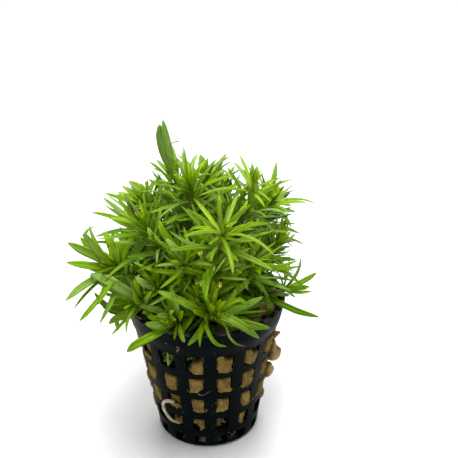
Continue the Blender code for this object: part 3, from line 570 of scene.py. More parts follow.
threads = random.Random(8)
thread_mesh = bmesh.new()
for points in LONG_THREADS:
    thread(thread_mesh, through([around_pot(*point) for point in points], 3), THREAD)
wool_skin = BVHTree.FromPolygons(
    [vert.co for vert in wool_block.data.vertices],
    [tuple(face.vertices) for face in wool_block.data.polygons],
)
for (_, sill, _), (_, lintel, _) in slot_rows:
    for column in range(POT_COLUMNS):
        for _ in range(WISPS_IN_A_SLOT):
            angle = math.degrees(FIRST_RIB + (column + threads.uniform(0.28, 0.72)) * POT_PITCH)
            height = sill + (lintel - sill) * threads.random() ** 1.8
            outside = around_pot(angle, OUTSIDE_POT, height)
            inward = around_pot(angle, 0, height) - outside
            start, normal, _, _ = wool_skin.ray_cast(outside, inward, SEARCHED)
            if start is None or math.hypot(start.x, start.y) < INNERMOST_WISP:
                continue
            drift = Vector([threads.uniform(-1, 1) for _ in range(3)])
            drift = (drift - normal * drift.dot(normal) - UP * 0.15).normalized()
            reach = threads.uniform(0.5, 1.4) * MM
            lift = threads.uniform(0.08, 0.3) * reach
            stops = [
                start - normal * 0.1 * MM,
                start + normal * lift + drift * reach * 0.35,
                start + normal * lift * threads.uniform(0.8, 1.6) + drift * reach,
            ]
            thread(thread_mesh, through(stops, 2), THREAD * threads.uniform(0.7, 1.3))
thread_finish = plain_finish("loose mineral fibre", (0.42, 0.32, 0.17), 0.6)
nodes, place = patterns_of(thread_finish)
varied = nodes.between(nodes.noise(place, 300, 2), 0.4, 0.6)
feed(thread_finish, nodes.mix(varied, (0.25, 0.18, 0.08, 1), (0.5, 0.42, 0.26, 1)), "Base Color")
loose_fibres = piece("loose_fibres", thread_mesh, thread_finish)
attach(loose_fibres, "root")

# One thick white root has found its way out of a slot at the lower left, arched over a bar and
# grown back in through the slot below. It is nearly smooth, a little translucent, stained here and
# there, and tapers to its tip.
ROOT_ROUTE = (  # angle from the front in degrees, radius and height in mm
    (-33.8, 19.8, 18.3),
    (-35.2, 22.0, 19.7),
    (-37.6, 22.8, 19.6),
    (-39.9, 22.7, 17.9),
    (-40.0, 22.4, 15.8),
    (-37.6, 21.9, 13.6),
    (-33.6, 21.2, 11.6),
    (-28.6, 19.4, 9.9),
)
ROOT_THICK = 0.68 * MM
ROOT_THIN = 0.4 * MM
root_mesh = bmesh.new()
root_line = through([around_pot(*stop) for stop in ROOT_ROUTE], 6)
root_radii = []
for i in range(len(root_line)):
    share = i / (len(root_line) - 1)
    knobbly = 1 + 0.08 * noise.noise(root_line[i] * 700)
    root_radii.append((ROOT_THICK + (ROOT_THIN - ROOT_THICK) * share) * knobbly)
tube(root_mesh, root_line, root_radii, 12)
root_finish = plain_finish(
    "white root", (0.5, 0.44, 0.3), 0.4, Subsurface_Weight=0.2, Subsurface_Scale=0.4 * MM,
)
nodes, place = patterns_of(root_finish)
stained = nodes.between(nodes.noise(place, 420, 4), 0.42, 0.68)
cream = nodes.mix(stained, (0.56, 0.49, 0.34, 1), (0.34, 0.26, 0.13, 1))
lower = nodes.between(nodes.add("SeparateXYZ", out=2, Vector=place), 9 * MM, 17 * MM, 0.75, 0.0)
feed(root_finish, nodes.mix(lower, cream, (0.22, 0.16, 0.085, 1)), "Base Color")
relief = nodes.add("Bump", Strength=0.25, Distance=0.0002, Height=nodes.noise(place, 1600, 3))
feed(root_finish, relief, "Normal")
arched_root = piece("arched_root", root_mesh, root_finish)
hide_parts("white_root")
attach(arched_root, "root")

# Small things have caught on the pot: moss in the slots, most of it at the front left, and a pale
# stalk there, a frayed tuft on the collar, a curl of dead leaf on the rim and two little heaps of
# dark crumbs low on the right.
MOSS_SPRIGS = (  # angle from the front in degrees, height and spread in mm, and how many there are
    (-31.4, 38.4, 2.4, 22),
    (-34.5, 36.2, 1.3, 8),
    (-12.8, 39.0, 1.3, 12),
    (-9.4, 40.0, 1.5, 7),
    (42.0, 24.4, 1.5, 4),
)
CRUMBS = (  # angle from the front in degrees, radius and height in mm, and how many lie there
    (16.9, 18.8, 11.0, 6),
    (27.7, 18.5, 4.9, 5),
)
MOSS, STALK, BROWN, CRUMB = range(4)
SPRIG_SWELLING = (0.5, 1, 1, 0.8, 0.2)  # a sprig's thickness along it, as a share of the most
FRAYED_ENDS = 11
FRAYED_RADII = (0.2, 0.17, 0.13, 0.09, 0.03)  # mm, from the tuft's heart outwards
strewn = random.Random(5)
litter_mesh = bmesh.new()
for angle, height, spread, count in MOSS_SPRIGS:
    for _ in range(count):
        around = angle + math.degrees(strewn.gauss(0, spread / 2) / 22)
        radius, _ = wall_at(around_pot(around, 22, height))
        start = around_pot(around, radius / MM - 1.8, height + strewn.gauss(0, spread * 0.4))
        lean = Vector([strewn.uniform(-1, 1) for _ in range(3)]) * strewn.uniform(0.6, 1.3) * MM
        outward = around_pot(around, 1, 0) * strewn.uniform(0.1, 1.2)
        stops = [start, start + lean * 0.5 + outward, start + lean + outward * 0.8]
        thick = strewn.uniform(0.12, 0.3) * MM
        radii = [thick * share for share in SPRIG_SWELLING]
        tube(litter_mesh, through(stops, 2), radii, 4, MOSS)
stalk = [around_pot(-31.5, 22.9, 40.3), around_pot(-31.6, 22.9, 37.0), around_pot(-33.0, 22.0, 33.6)]
tube(litter_mesh, through(stalk, 4), [0.4 * MM] * 9, 6, STALK)
heart = around_pot(-18.4, 25.65, 44.0)
for _ in range(FRAYED_ENDS):
    ray = Vector((strewn.uniform(-1, 1), strewn.uniform(-0.25, 0), strewn.uniform(-1, 1))).normalized()
    stops = [heart, heart + ray * 0.6 * MM, heart + ray * strewn.uniform(0.9, 1.7) * MM]
    tube(litter_mesh, through(stops, 2), [radius * MM for radius in FRAYED_RADII], 4, BROWN)
curl = ((-19.8, -17, 50.6), (-22.3, -15.6, 51.0), (-24.4, -14, 48.9), (-24.9, -13.4, 50.4))
curl = through([Vector(stop) * MM for stop in curl], 5)
tube(litter_mesh, curl, [0.32 * MM - 0.012 * MM * i for i in range(len(curl))], 5, BROWN)
for angle, radius, height, count in CRUMBS:
    for _ in range(count):
        size = strewn.uniform(0.2, 0.42) * MM
        crumb = bmesh.ops.create_icosphere(litter_mesh, subdivisions=2, radius=size)["verts"]
        for vert in crumb:
            vert.co *= 1 + 0.8 * noise.noise(vert.co * 1600 + Vector((size * 90000, 0, 0)))
        place = around_pot(angle + strewn.gauss(0, 1.8), radius, height + strewn.gauss(0, 0.7))
        bmesh.ops.translate(litter_mesh, verts=crumb, vec=place)
        for face in {face for vert in crumb for face in vert.link_faces}:
            face.material_index = CRUMB
            face.smooth = True
litter_finishes = []
for name, colour, roughness, dark, pale in (
    ("moss", (0.06, 0.14, 0.01), 0.7, (0.03, 0.075, 0.002, 1), (0.17, 0.26, 0.01, 1)),
    ("pale stalk", (0.2, 0.3, 0.06), 0.6, (0.08, 0.14, 0.02, 1), (0.24, 0.32, 0.08, 1)),
    ("frayed brown fibre", (0.09, 0.055, 0.025), 0.8, (0.05, 0.034, 0.02, 1), (0.2, 0.13, 0.08, 1)),
    ("dark crumb", (0.03, 0.02, 0.045), 0.6, (0.012, 0.008, 0.02, 1), (0.075, 0.055, 0.11, 1)),
):
    finish = plain_finish(name, colour, roughness)
    nodes, place = patterns_of(finish)
    mottling = nodes.between(nodes.noise(place, 900, 3), 0.4, 0.62)
    feed(finish, nodes.mix(mottling, dark, pale), "Base Color")
    litter_finishes.append(finish)
litter = piece("caught_moss_and_litter", litter_mesh, *litter_finishes)
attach(litter, "root")

# The shoots are rooted in the wool. A shoot is a soft pale stem, a little swollen where each ring
# of leaves joins it, and narrow pointed leaves folded up along a pale midrib. One leaf blank is
# modelled, and each leaf is that blank bent to its own line, the solids' leaves among them.
BLADE_ACROSS = 4
BLADE_ALONG = 8
BLUNT_WIDENING = 1.6  # of the last row before the tip, in a leaf with a rounded end
WIDEST = 0.36  # from this far along, a blade has its full width
SHOULDER = 0.5  # from here on a blade narrows to its tip
RAGGED = 0.09  # how far a blade's margin strays, as a share of half its width
WAVY = 0.1  # and how far it waves up and down
BROAD_LEFT = -23 * MM  # the shoots further left than this have broad leaves
BROAD_BACK = 7 * MM  # and so have those further back than this
STEM_SIDES = 8
GROWTH_SIDES = 6  # of a side stalk, a petal and the twin leaf's thread
STEM_STEPS = 3  # between two of the solid stem's rings
STEM_SHARE = 0.85  # of the solid stem's radius
STEM_END = 0.12 * MM
PETAL_THINNING = 0.1  # of its radius from each point of its line to the next
SKIN_STEM, SKIN_UPPER, SKIN_UNDER, SKIN_BUD = range(4)


def station(row):
    """How far along the blade a row of its points is. The rows are closer towards the tip."""
    return 1 - (1 - row / BLADE_ALONG) ** 1.4


def blade_outline(v):
    """Half the blade's width at v, from its foot at 0 to its tip at 1, as a share of the widest."""
    if v < WIDEST:
        return 0.45 + 0.55 * math.sin(math.pi / 2 * v / WIDEST) ** 0.8
    return max(0, 1 - (max(0, v - SHOULDER) / (1 - SHOULDER)) ** 2.5) ** 0.8


def leaf_blank():
    """A flat closed blade: an upper and an under face that meet along the margin."""
    bm = bmesh.new()
    uv = bm.loops.layers.uv.new("blade")
    bmesh.ops.create_grid(bm, x_segments=BLADE_ACROSS, y_segments=BLADE_ALONG, size=1)
    for face in bm.faces:
        face.material_index = SKIN_UPPER
        for loop in face.loops:
            loop[uv].uv = ((loop.vert.co.x + 1) / 2, station((loop.vert.co.y + 1) / 2 * BLADE_ALONG))
    under = bmesh.ops.duplicate(bm, geom=bm.verts[:] + bm.edges[:] + bm.faces[:])["geom"]
    under_faces = [item for item in under if isinstance(item, bmesh.types.BMFace)]
    bmesh.ops.reverse_faces(bm, faces=under_faces)
    below = {vert for face in under_faces for vert in face.verts}
    for face in under_faces:
        face.material_index = SKIN_UNDER
    for vert in bm.verts:
        across = vert.co.x
        row = (vert.co.y + 1) / 2 * BLADE_ALONG
        v = station(row)
        plump = (1 - abs(across)) * math.sin(math.pi * v) ** 0.4 if 0 < v < 1 else 0
        vert.co = (across * blade_outline(v), row, -plump if vert in below else plump * 0.6)
    bmesh.ops.remove_doubles(bm, verts=bm.verts, dist=1e-5)
    for face in bm.faces:
        face.smooth = True
    mesh = bpy.data.meshes.new("leaf blank")
    bm.to_mesh(mesh)
    bm.free()
    return mesh


LEAF_BLANK = leaf_blank()


def breadth(foot):
    """How broad a leaf is for its place: slimmer from 54 mm up, but not far left or at the back."""
    if foot.x < BROAD_LEFT:
        return 1.25
    if foot.y > BROAD_BACK:
        return 1.05
    return 1 - 0.34 * share_of(foot.z / MM, 54, 9)


def bent(foot, control, tip):
    """A line of nine points from a leaf's foot to its tip, drawn towards the control between them."""
    line = []
    for row in range(BLADE_ALONG + 1):
        v = station(row)
        line.append(foot * (1 - v) ** 2 + control * 2 * v * (1 - v) + tip * v * v)
    return line


class Leaf:
    """One leaf: its line from foot to tip, its width, the way its upper face looks, and its age."""

    def __init__(self, line, up, width, age):
        self.line = line
        self.up = up
        self.width = width
        self.age = age
        self.tone = rng.random()
        self.pallor = max(0, rng.uniform(-0.9, 0.75))
        self.blemish = 0.0
        self.blunt = False
        self.fold = math.radians(rng.uniform(16, 36) + 16 * max(0, 0.5 - age))
        self.twist = math.radians(rng.uniform(-45, 45))
        self.curl = rng.uniform(-0.06, 0.14)
        self.sway = rng.uniform(-0.08, 0.08)
        self.seed = rng.uniform(0, 90)

    def length(self):
        return (self.line[-1] - self.line[0]).length

    def frame(self, row):
        """The middle of the blade at a row, with its side and the way its upper face looks."""
        ahead = (self.line[min(row + 1, BLADE_ALONG)] - self.line[max(row - 1, 0)]).normalized()
        side = ahead.cross(self.up).normalized()
        side = Matrix.Rotation(self.twist * row / BLADE_ALONG, 3, ahead) @ side
        return self.line[row], side, side.cross(ahead)

    def strip(self):
        """A coarse flat strip of the blade, for finding what it would run into."""
        points = []
        for row in (1, 2, 4, 6):
            middle, side, _ = self.frame(row)
            half = side * self.width / 2 * blade_outline(station(row))
            points += [middle - half, middle + half]
        points.append(self.line[-1])
        faces = [(i, i + 1, i + 3, i + 2) for i in (0, 2, 4)]
        return points, [*faces, (6, 7, 8)]


def lay_leaf(bm, marks, leaf):
    """Adds the blank to a shoot's mesh and bends it to the leaf's line."""
    first = len(bm.verts)
    bm.from_mesh(LEAF_BLANK)
    bm.verts.ensure_lookup_table()
    length = leaf.length()
    half = leaf.width / 2
    frames = [leaf.frame(row) for row in range(BLADE_ALONG + 1)]
    for vert in bm.verts[first:]:
        across, row, lift = vert.co
        v = station(row)
        middle, side, up = frames[round(row)]
        if leaf.blunt and row > BLADE_ALONG - 1.5:
            across *= BLUNT_WIDENING
        ragged = 1 + RAGGED * noise.noise(Vector((v * 6, leaf.seed + (across > 0) * 7, 0)))
        wave = WAVY * noise.noise(Vector((v * 5, leaf.seed, 3 + (across > 0) * 5)))
        fold = leaf.fold * (1 - 0.5 * v)
        away = across * half * ragged
        rise = abs(away) * (math.sin(fold) + wave) + lift * (0.1 + 0.03 * leaf.width / MM) * MM
        bend = length * max(0, v - 0.5) ** 2 * 3
        away = away * math.cos(fold) + leaf.sway * bend
        vert.co = middle + side * away + up * (rise - leaf.curl * bend)
        vert[marks] = (leaf.age, leaf.tone, leaf.blemish, leaf.pallor)


def read_shoot(node):
    """The rings of a solid's stem, from its foot up, and its leaves' lines, read from its mesh."""
    bm = bmesh.new()
    bm.from_mesh(node.data)
    bmesh.ops.remove_doubles(bm, verts=bm.verts, dist=0.002 * MM)
    near = {vert: {edge.other_vert(vert) for edge in vert.link_edges} for vert in bm.verts}
    blades = set()
    lines = []
    # A leaf's tip has three neighbours, which are a good way off and joined to one another.
    for tip in bm.verts:
        ring = near[tip]
        if len(ring) != 3 or min((vert.co - tip.co).length for vert in ring) < 2 * MM:
            continue
        if any(len(near[vert] & ring) != 2 for vert in ring):
            continue
        blades.add(tip)
        sections = [ring]
        while True:
            beyond = set().union(*(near[vert] for vert in sections[-1])) - sections[-1] - blades
            if len(beyond) > 3:
                break
            blades |= sections[-1]
            sections.append(beyond)
        base = sections.pop()
        foot = sum((vert.co for vert in base), Vector()) / 3
        widths, controls, ups = [], [], []
        for ring, t in zip(reversed(sections), (0.45,) if len(sections) == 1 else (0.32, 0.7)):
            pairs = [(a, b) for a in ring for b in ring if a is not b]
            left, right = max(pairs, key=lambda pair: (pair[0].co - pair[1].co).length)
            keel = next(vert for vert in ring if vert is not left and vert is not right)
            middle = (left.co + right.co) / 2
            widths.append((left.co - right.co).length)
            ups.append((middle - keel.co).normalized())
            pull = middle - foot * (1 - t) ** 2 - tip.co * t * t
            controls.append(pull / (2 * t * (1 - t)))
        control = sum(controls, Vector()) / len(controls)
        lines.append((foot, control, tip.co.copy(), sum(ups, Vector()), widths[0]))
    # What is left is the stem, whose foot is a ring of six points.
    bare = [vert for vert in bm.verts if vert not in blades]
    layer = set(sorted(bare, key=lambda vert: vert.co.z)[:6])
    passed = set()
    rings = []
    while layer:
        middle = sum((vert.co for vert in layer), Vector()) / len(layer)
        rings.append((middle, sum((vert.co - middle).length for vert in layer) / len(layer)))
        passed |= layer
        layer = set().union(*(near[vert] for vert in layer)) - passed - blades
    bm.free()
    return rings, lines


TOWARD_FRONT = Vector((0.1, -0.9, 0.4))
UP_AND_FRONT = Vector((0.1, -0.75, 0.65))
FACING = 1.0  # how strongly the leaves in front turn their faces that way
FACING_DEPTH = 12 * MM  # as far back as this, and half as strongly behind it
YOUNG_SHOOTS = {"shoot_star": 0.45, "shoot_tall": 0.7, "shoot_top_right": 0.7}  # share of the age
rng = random.Random(31)
shoot_nodes = sorted(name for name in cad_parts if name.startswith("shoot_"))
shoots = {}
for name in shoot_nodes:
    rings, lines = read_shoot(bpy.data.objects[name])
    crown = rings[-1][0]
    leaves = []
    for foot, control, tip, up, width in lines:
        reach = (tip - foot).length
        stray = Vector([rng.uniform(-0.1, 0.1) for _ in range(3)]) * reach
        down = (crown - foot).length / MM
        age = min(1, 0.06 + down / 18 + reach / MM / 55) * YOUNG_SHOOTS.get(name, 1)
        up = up.normalized() + TOWARD_FRONT * (FACING if foot.y < FACING_DEPTH else FACING / 2)
        leaf = Leaf(bent(foot, control + stray, tip), up, width * breadth(foot), age)
        leaf.curl = leaf.sway = 0
        leaf.twist /= 2
        leaves.append(leaf)
    shoots[name] = (rings, leaves)


def leaf_ending(shoot, *place):
    """The leaf of a shoot whose tip is nearest to this point, in mm."""
    place = Vector(place) * MM
    return min(shoots[shoot][1], key=lambda leaf: (leaf.line[-1] - place).length)


def up_the_stem(rings, down):
    """The point of the stem this far below its bud, and the way the stem heads there."""
    middles = [middle for middle, _ in rings]
    for high, low in zip(reversed(middles), reversed(middles[:-1])):
        span = (high - low).length
        if down <= span:
            return high + (low - high) * (down / span), (high - low).normalized()
        down -= span
    return None, None


def reshape(leaf, *stops):
    """Lays a leaf's line from its own foot through these points, in mm, without a further bend."""
    route = through([leaf.line[0], *(Vector(stop) * MM for stop in stops)], 12)
    leaf.line = []
    for row in range(BLADE_ALONG + 1):
        whole, part = divmod(station(row) * (len(route) - 1), 1)
        leaf.line.append(route[int(whole)].lerp(route[min(int(whole) + 1, len(route) - 1)], part))
    leaf.sway = leaf.curl = leaf.twist = 0


# The tallest leaf is a twin. The solid's leaf is its pointed half, the solid's thinnest leaf is
# bent into its rounded half, and a thread stands off its side.
pointed = leaf_ending("shoot_tall", -11.8, 5, 109.9)
rounded = min(shoots["shoot_tall"][1], key=lambda leaf: leaf.width)
reshape(pointed, (-10.8, 5, 98.2), (-11.6, 5, 104.1), pointed.line[-1] / MM)
reshape(rounded, (-11.3, 6.6, 94.4), (-13.1, 6.8, 99.5), (-13.9, 6.8, 104.5), (-13.5, 6.6, 107.9))
rounded.blunt = True
for leaf in (pointed, rounded):
    leaf.up, leaf.fold, leaf.age, leaf.tone = TOWARD_FRONT, 0.2, 0.9, 0.3
    leaf.width, leaf.pallor = 2.6 * MM, 0.8
TWIN_THREAD = ((-10.4, 4.2, 102.2), (-9.0, 3.8, 102.9), (-7.3, 3.6, 103.2))  # its points in mm
side_growths = {name: [] for name in shoot_nodes}  # each a line, its radius in mm and its skin
twin_thread = bent(*(Vector(stop) * MM for stop in TWIN_THREAD))
side_growths["shoot_tall"].append((twin_thread, 0.2, SKIN_STEM))
spotted = max(shoots["shoot_spotted"][1], key=lambda leaf: leaf.width)
spotted.up, spotted.twist, spotted.blemish, spotted.age = TOWARD_FRONT, 0, 1.0, 0.4

SIDE_BUDS = (  # shoot, where its stalk starts and ends in mm, both near the middle of the plant
    ("shoot_bud", (2.4, -17.7, 66.0), (-0.6, -25.0, 76.8)),
    ("shoot_bud", (2.6, -17.7, 60.0), (5.3, -26.0, 66.7)),
    ("shoot_bud", (2.6, -17.7, 67.0), (3.1, -26.0, 71.9)),
)
PETALS = 9
PETAL_TURN = 0.38  # of a full turn, from one petal to the next
for shoot, start, end in SIDE_BUDS:
    start, end = Vector(start) * MM, Vector(end) * MM
    stalk = bent(start, (start + end) / 2 + TOWARD_FRONT * 1.2 * MM, end)
    side_growths[shoot].append((stalk, 0.3, SKIN_STEM))
    for j in range(PETALS):
        turn = j * FULL_TURN * PETAL_TURN
        out = Vector((math.cos(turn), math.sin(turn), 0)) * rng.uniform(0.3, 1.0)
        tip = end + (UP * rng.uniform(0.5, 1.6) + out) * MM
        petal = bent(end, (end + tip) / 2 + out * 0.5 * MM, tip)
        side_growths[shoot].append((petal, 0.24, SKIN_BUD))

STEERED_LEAVES = (  # shoot, width, where the solid's leaf ends, and its own points up to its tip, in mm
    ("front_left", 2.9, (-24, -30, 48), (-15.0, -26.5, 50.6), (-20.5, -29.2, 48.8), (-23.5, -30.2, 46.8)),
    ("front", 2.9, (17, -30, 50), (6.6, -27.5, 57.2), (11.7, -29.5, 55.3), (17.3, -27, 49.0)),
    ("front", 1.4, (7, -29, 48), (0.6, -26, 54.2), (2, -30.4, 52.4), (4, -30.2, 49.2), (7.2, -29.4, 47.9)),
    ("front", 0.9, (13, -34, 50), (6.2, -26, 54.2), (8, -30.2, 51.6), (10, -29.4, 48.8), (12.9, -28.4, 47.2)),
    ("hanging", 2.3, (36, -12, 48), (23.9, -9.5, 52.0), (30.4, -11, 49.4), (37.6, -11.5, 47.4)),
    ("hanging", 1.9, (19, -11, 46), (20.4, -11, 53.8), (20.7, -12, 49.9), (20.3, -11, 45.4)),
    ("hanging", 1.3, (37, -7, 44), (30.6, -7.5, 54.6), (35.1, -8, 55.2)),
    ("hanging", 1.0, (36, -5, 50), (27.8, -7, 54.0), (29.8, -8.5, 53.2)),
    ("centre_right", 1.9, (22, -23, 48), (16.4, -15, 62.6), (20.7, -14, 56.4)),
    ("tall", 1.5, (-20, 17, 94), (-12.3, 8.0, 92.1), (-15.6, 11.0, 94.8)),
    ("tall", 1.3, (-22, 5, 95), (-14.6, 5.0, 88.1), (-18.0, 5.0, 90.1)),
    ("left", 1.6, (-39, -28, 55), (-33.7, -24, 59.5), (-37.5, -28, 56.4)),
)
for shoot, width, ending, *stops in STEERED_LEAVES:
    leaf = leaf_ending("shoot_" + shoot, *ending)
    reshape(leaf, *stops)
    leaf.up, leaf.width = UP_AND_FRONT, width * MM

PLACED_LEAVES = (  # shoot, mm below its bud, width in mm, pallor, and the points up to its tip, in mm
    ("left_low", 3.5, 2.2, 0.2, (-27.0, -16.5, 52.6), (-31.9, -14.5, 54.6), (-35.1, -14, 58.9)),
    ("left_low", 4.0, 1.7, 0.0, (-26.4, -15.5, 51.6), (-28.4, -14.4, 48.0), (-28.2, -14, 44.6)),
    ("left_low", 4.0, 2.4, 0.0, (-24.0, -13, 52.9), (-29.0, -11.5, 51.6), (-33.6, -10, 51.0)),
    ("left_low", 3.5, 2.6, 0.2, (-23.0, -18.5, 53.4), (-27.5, -18.5, 52.0), (-30.5, -18, 49.6)),
    ("left_low", 2.0, 3.7, 1.0, (-24.5, -20, 62.4), (-29.3, -21, 66.6), (-34.7, -19, 68.0)),
    ("low_left", 3.0, 2.5, 0.9, (-17.6, -20, 64.4), (-20.8, -21, 67.9)),
    ("left", 9.0, 1.1, 1.0, (-35.7, -13.0, 76.3), (-35.9, -13.0, 79.4), (-33.6, -12.0, 80.9)),
    ("middle", 3.0, 2.0, 0.9, (-7.8, -22, 77.1), (-10.8, -22, 81.1)),
    ("middle", 4.0, 1.9, 0.0, (-11.4, -17, 79.5), (-13.2, -15, 84.1)),
    ("spotted", 9.0, 2.0, 0.3, (-15.2, -18, 79.7), (-16.5, -17, 82.6)),
    ("front_left", 2.0, 2.8, 0.6, (-12.0, -24.5, 53.0), (-15.0, -26, 53.4), (-17.9, -26.4, 54.6)),
    ("front_left", 2.0, 2.2, 0.6, (-11.2, -23.4, 55.0), (-14.3, -25.5, 56.6)),
    ("front_left", 4.0, 1.9, 0.8, (-8.2, -22.6, 58.0), (-9.4, -22.4, 64.0)),
    ("front", 3.5, 2.6, 0.2, (-4.0, -22.5, 58.4), (-9.5, -22.5, 61.4), (-14.6, -21, 63.0)),
    ("front", 1.5, 1.7, 0.0, (8.5, -26, 61.1), (11.5, -26, 62.1), (13.6, -26, 60.0)),
    ("front", 3.0, 2.0, 0.2, (-4.5, -27, 60.8), (-8.0, -27, 63.2)),
    ("front", 2.0, 1.8, 0.0, (0.4, -25, 67.5), (4.1, -24, 74.0)),
)
for shoot, down, width, pallor, *stops in PLACED_LEAVES:
    rings, leaves = shoots["shoot_" + shoot]
    foot, _ = up_the_stem(rings, down * MM)
    leaf = Leaf([foot], UP_AND_FRONT, width * MM, rng.uniform(0.35, 0.8))
    reshape(leaf, *stops)
    # A pale leaf is given a high tone, which paints it brighter: painted light on leaves that lie in shade.
    leaf.pallor, leaf.tone = pallor, max(leaf.tone, 0.8 * pallor)
    leaves.append(leaf)

taken = []


def extent(points):
    """The lowest and the highest corner of the box round some points."""
    return [Vector(end(point[i] for point in points) for i in range(3)) for end in (min, max)]


def take(points, faces):
    """Notes a strip or a stem as room that is taken."""
    taken.append((*extent(points), BVHTree.FromPolygons(points, faces)))


def has_room(points, faces):
    """Whether a strip is inside the solids' box and runs into nothing that is there."""
    low, high = extent(points)
    if any(low[i] < CAD_BOX[0][i] or high[i] > CAD_BOX[1][i] for i in range(3)):
        return False
    strip = BVHTree.FromPolygons(points, faces)
    for other_low, other_high, other in taken:
        near = all(low[i] < other_high[i] and high[i] > other_low[i] for i in range(3))
        if near and strip.overlap(other):
            return False
    return True


STEM_ROOM = 0.6 * MM  # kept clear on each side of a stem's middle
for rings, leaves in shoots.values():
    for leaf in leaves:
        take(*leaf.strip())
    middles = [middle for middle, _ in rings]
    for low, high in zip(middles, middles[1:]):
        corners = []
        for aside in (Vector((STEM_ROOM, 0, 0)), Vector((0, STEM_ROOM, 0))):
            corners += [low - aside, low + aside, high + aside, high - aside]
        take(corners, [(0, 1, 2, 3), (4, 5, 6, 7)])
for solid in ("net_pot", "rock_wool"):
    solid_mesh = bpy.data.objects[solid].data
    corners = [vert.co.copy() for vert in solid_mesh.vertices]
    take(corners, [tuple(face.vertices) for face in solid_mesh.polygons])

EXTRA_WHORLS = (  # mm below the bud, leaves, their length in mm and their rise in degrees
    (0.0, 5, 4.5, 78),
    (0.2, 6, 6, 62),
    (0.8, 6, 8, 52),
    (1.6, 5, 11, 52),
    (3.0, 6, 15, 46),
    (5.2, 7, 18, 34),
    (7.2, 7, 17, 32),
    (9.2, 7, 19, 26),
    (11.5, 8, 20, 20),
    (13.5, 8, 18, 18),
    (15.5, 8, 20, 14),
    (17.5, 8, 17, 14),
    (19.5, 8, 20, 10),
    (24.0, 9, 19, 8),
    (28.5, 9, 19, 4),
    (33.0, 8, 18, 2),
)
CURLY_SHARE = 0.14
# These shoots have no extra whorl between this many mm and CLEAR_TO mm below their buds.
CLEAR_SHOOTS = {"shoot_hanging": 0, "shoot_star": 0.5, "shoot_tall": 0.9, "shoot_top_right": 0.9}
CLEAR_TO = 9
LOWEST_WHORL = 46 * MM
OVER_RIM = 55 * MM  # no extra leaf hangs lower than this,
RIM_REACH = 24 * MM  # where it reaches further out than this
FAR_RIGHT = 31 * MM  # and none ends further right than this
CROWDED = 1.2  # mm below the bud: the small leaves above this touch one another
ATTEMPTS = 5  # at a leaf that finds room
for down, count, length, rise in EXTRA_WHORLS:
    for name, (rings, leaves) in shoots.items():
        foot, ahead = up_the_stem(rings, down * MM)
        if foot is None or foot.z < LOWEST_WHORL or CLEAR_SHOOTS.get(name, CLEAR_TO) < down < CLEAR_TO:
            continue
        across = ahead.orthogonal().normalized()
        start = rng.uniform(0, FULL_TURN)
        for j in range(count):
            for attempt in range(ATTEMPTS):
                turn = start + (j + rng.uniform(-0.35, 0.35)) * FULL_TURN / count
                out = Matrix.Rotation(turn, 3, ahead) @ across
                tilt = math.radians(min(88, rise + rng.uniform(-16, 30)))
                reach = length * MM * rng.uniform(0.65, 1.08) * (1 - 0.08 * attempt)
                heading = out * math.cos(tilt) + ahead * math.sin(tilt)
                heading = (heading + UP * rng.uniform(0, 0.7)).normalized()
                tip = foot + heading * reach
                if tip.x > FAR_RIGHT or tip.z < OVER_RIM and math.hypot(tip.x, tip.y) > RIM_REACH:
                    continue
                bow = rng.uniform(-0.26, 0.18) * reach
                aside = heading.cross(ahead) * rng.uniform(-0.24, 0.24) * reach
                control = (foot + tip) / 2 + ahead * bow + aside
                width = (1.0 + 0.075 * reach / MM + rng.uniform(-0.2, 0.5)) * MM * breadth(foot)
                up = ahead * math.cos(tilt) - out * math.sin(tilt) + TOWARD_FRONT * FACING / 2
                leaf = Leaf(bent(foot, control, tip), up, width, min(1, 0.02 + down / 14))
                if down < CROWDED:
                    leaf.tone, leaf.pallor = max(0.8, leaf.tone), 0
                if rng.random() < CURLY_SHARE:
                    leaf.curl = rng.uniform(-0.3, 0.6)
                    leaf.sway = rng.uniform(-0.35, 0.35)
                strip = leaf.strip()
                if down < CROWDED or has_room(*strip):
                    take(*strip)
                    leaves.append(leaf)
                    break


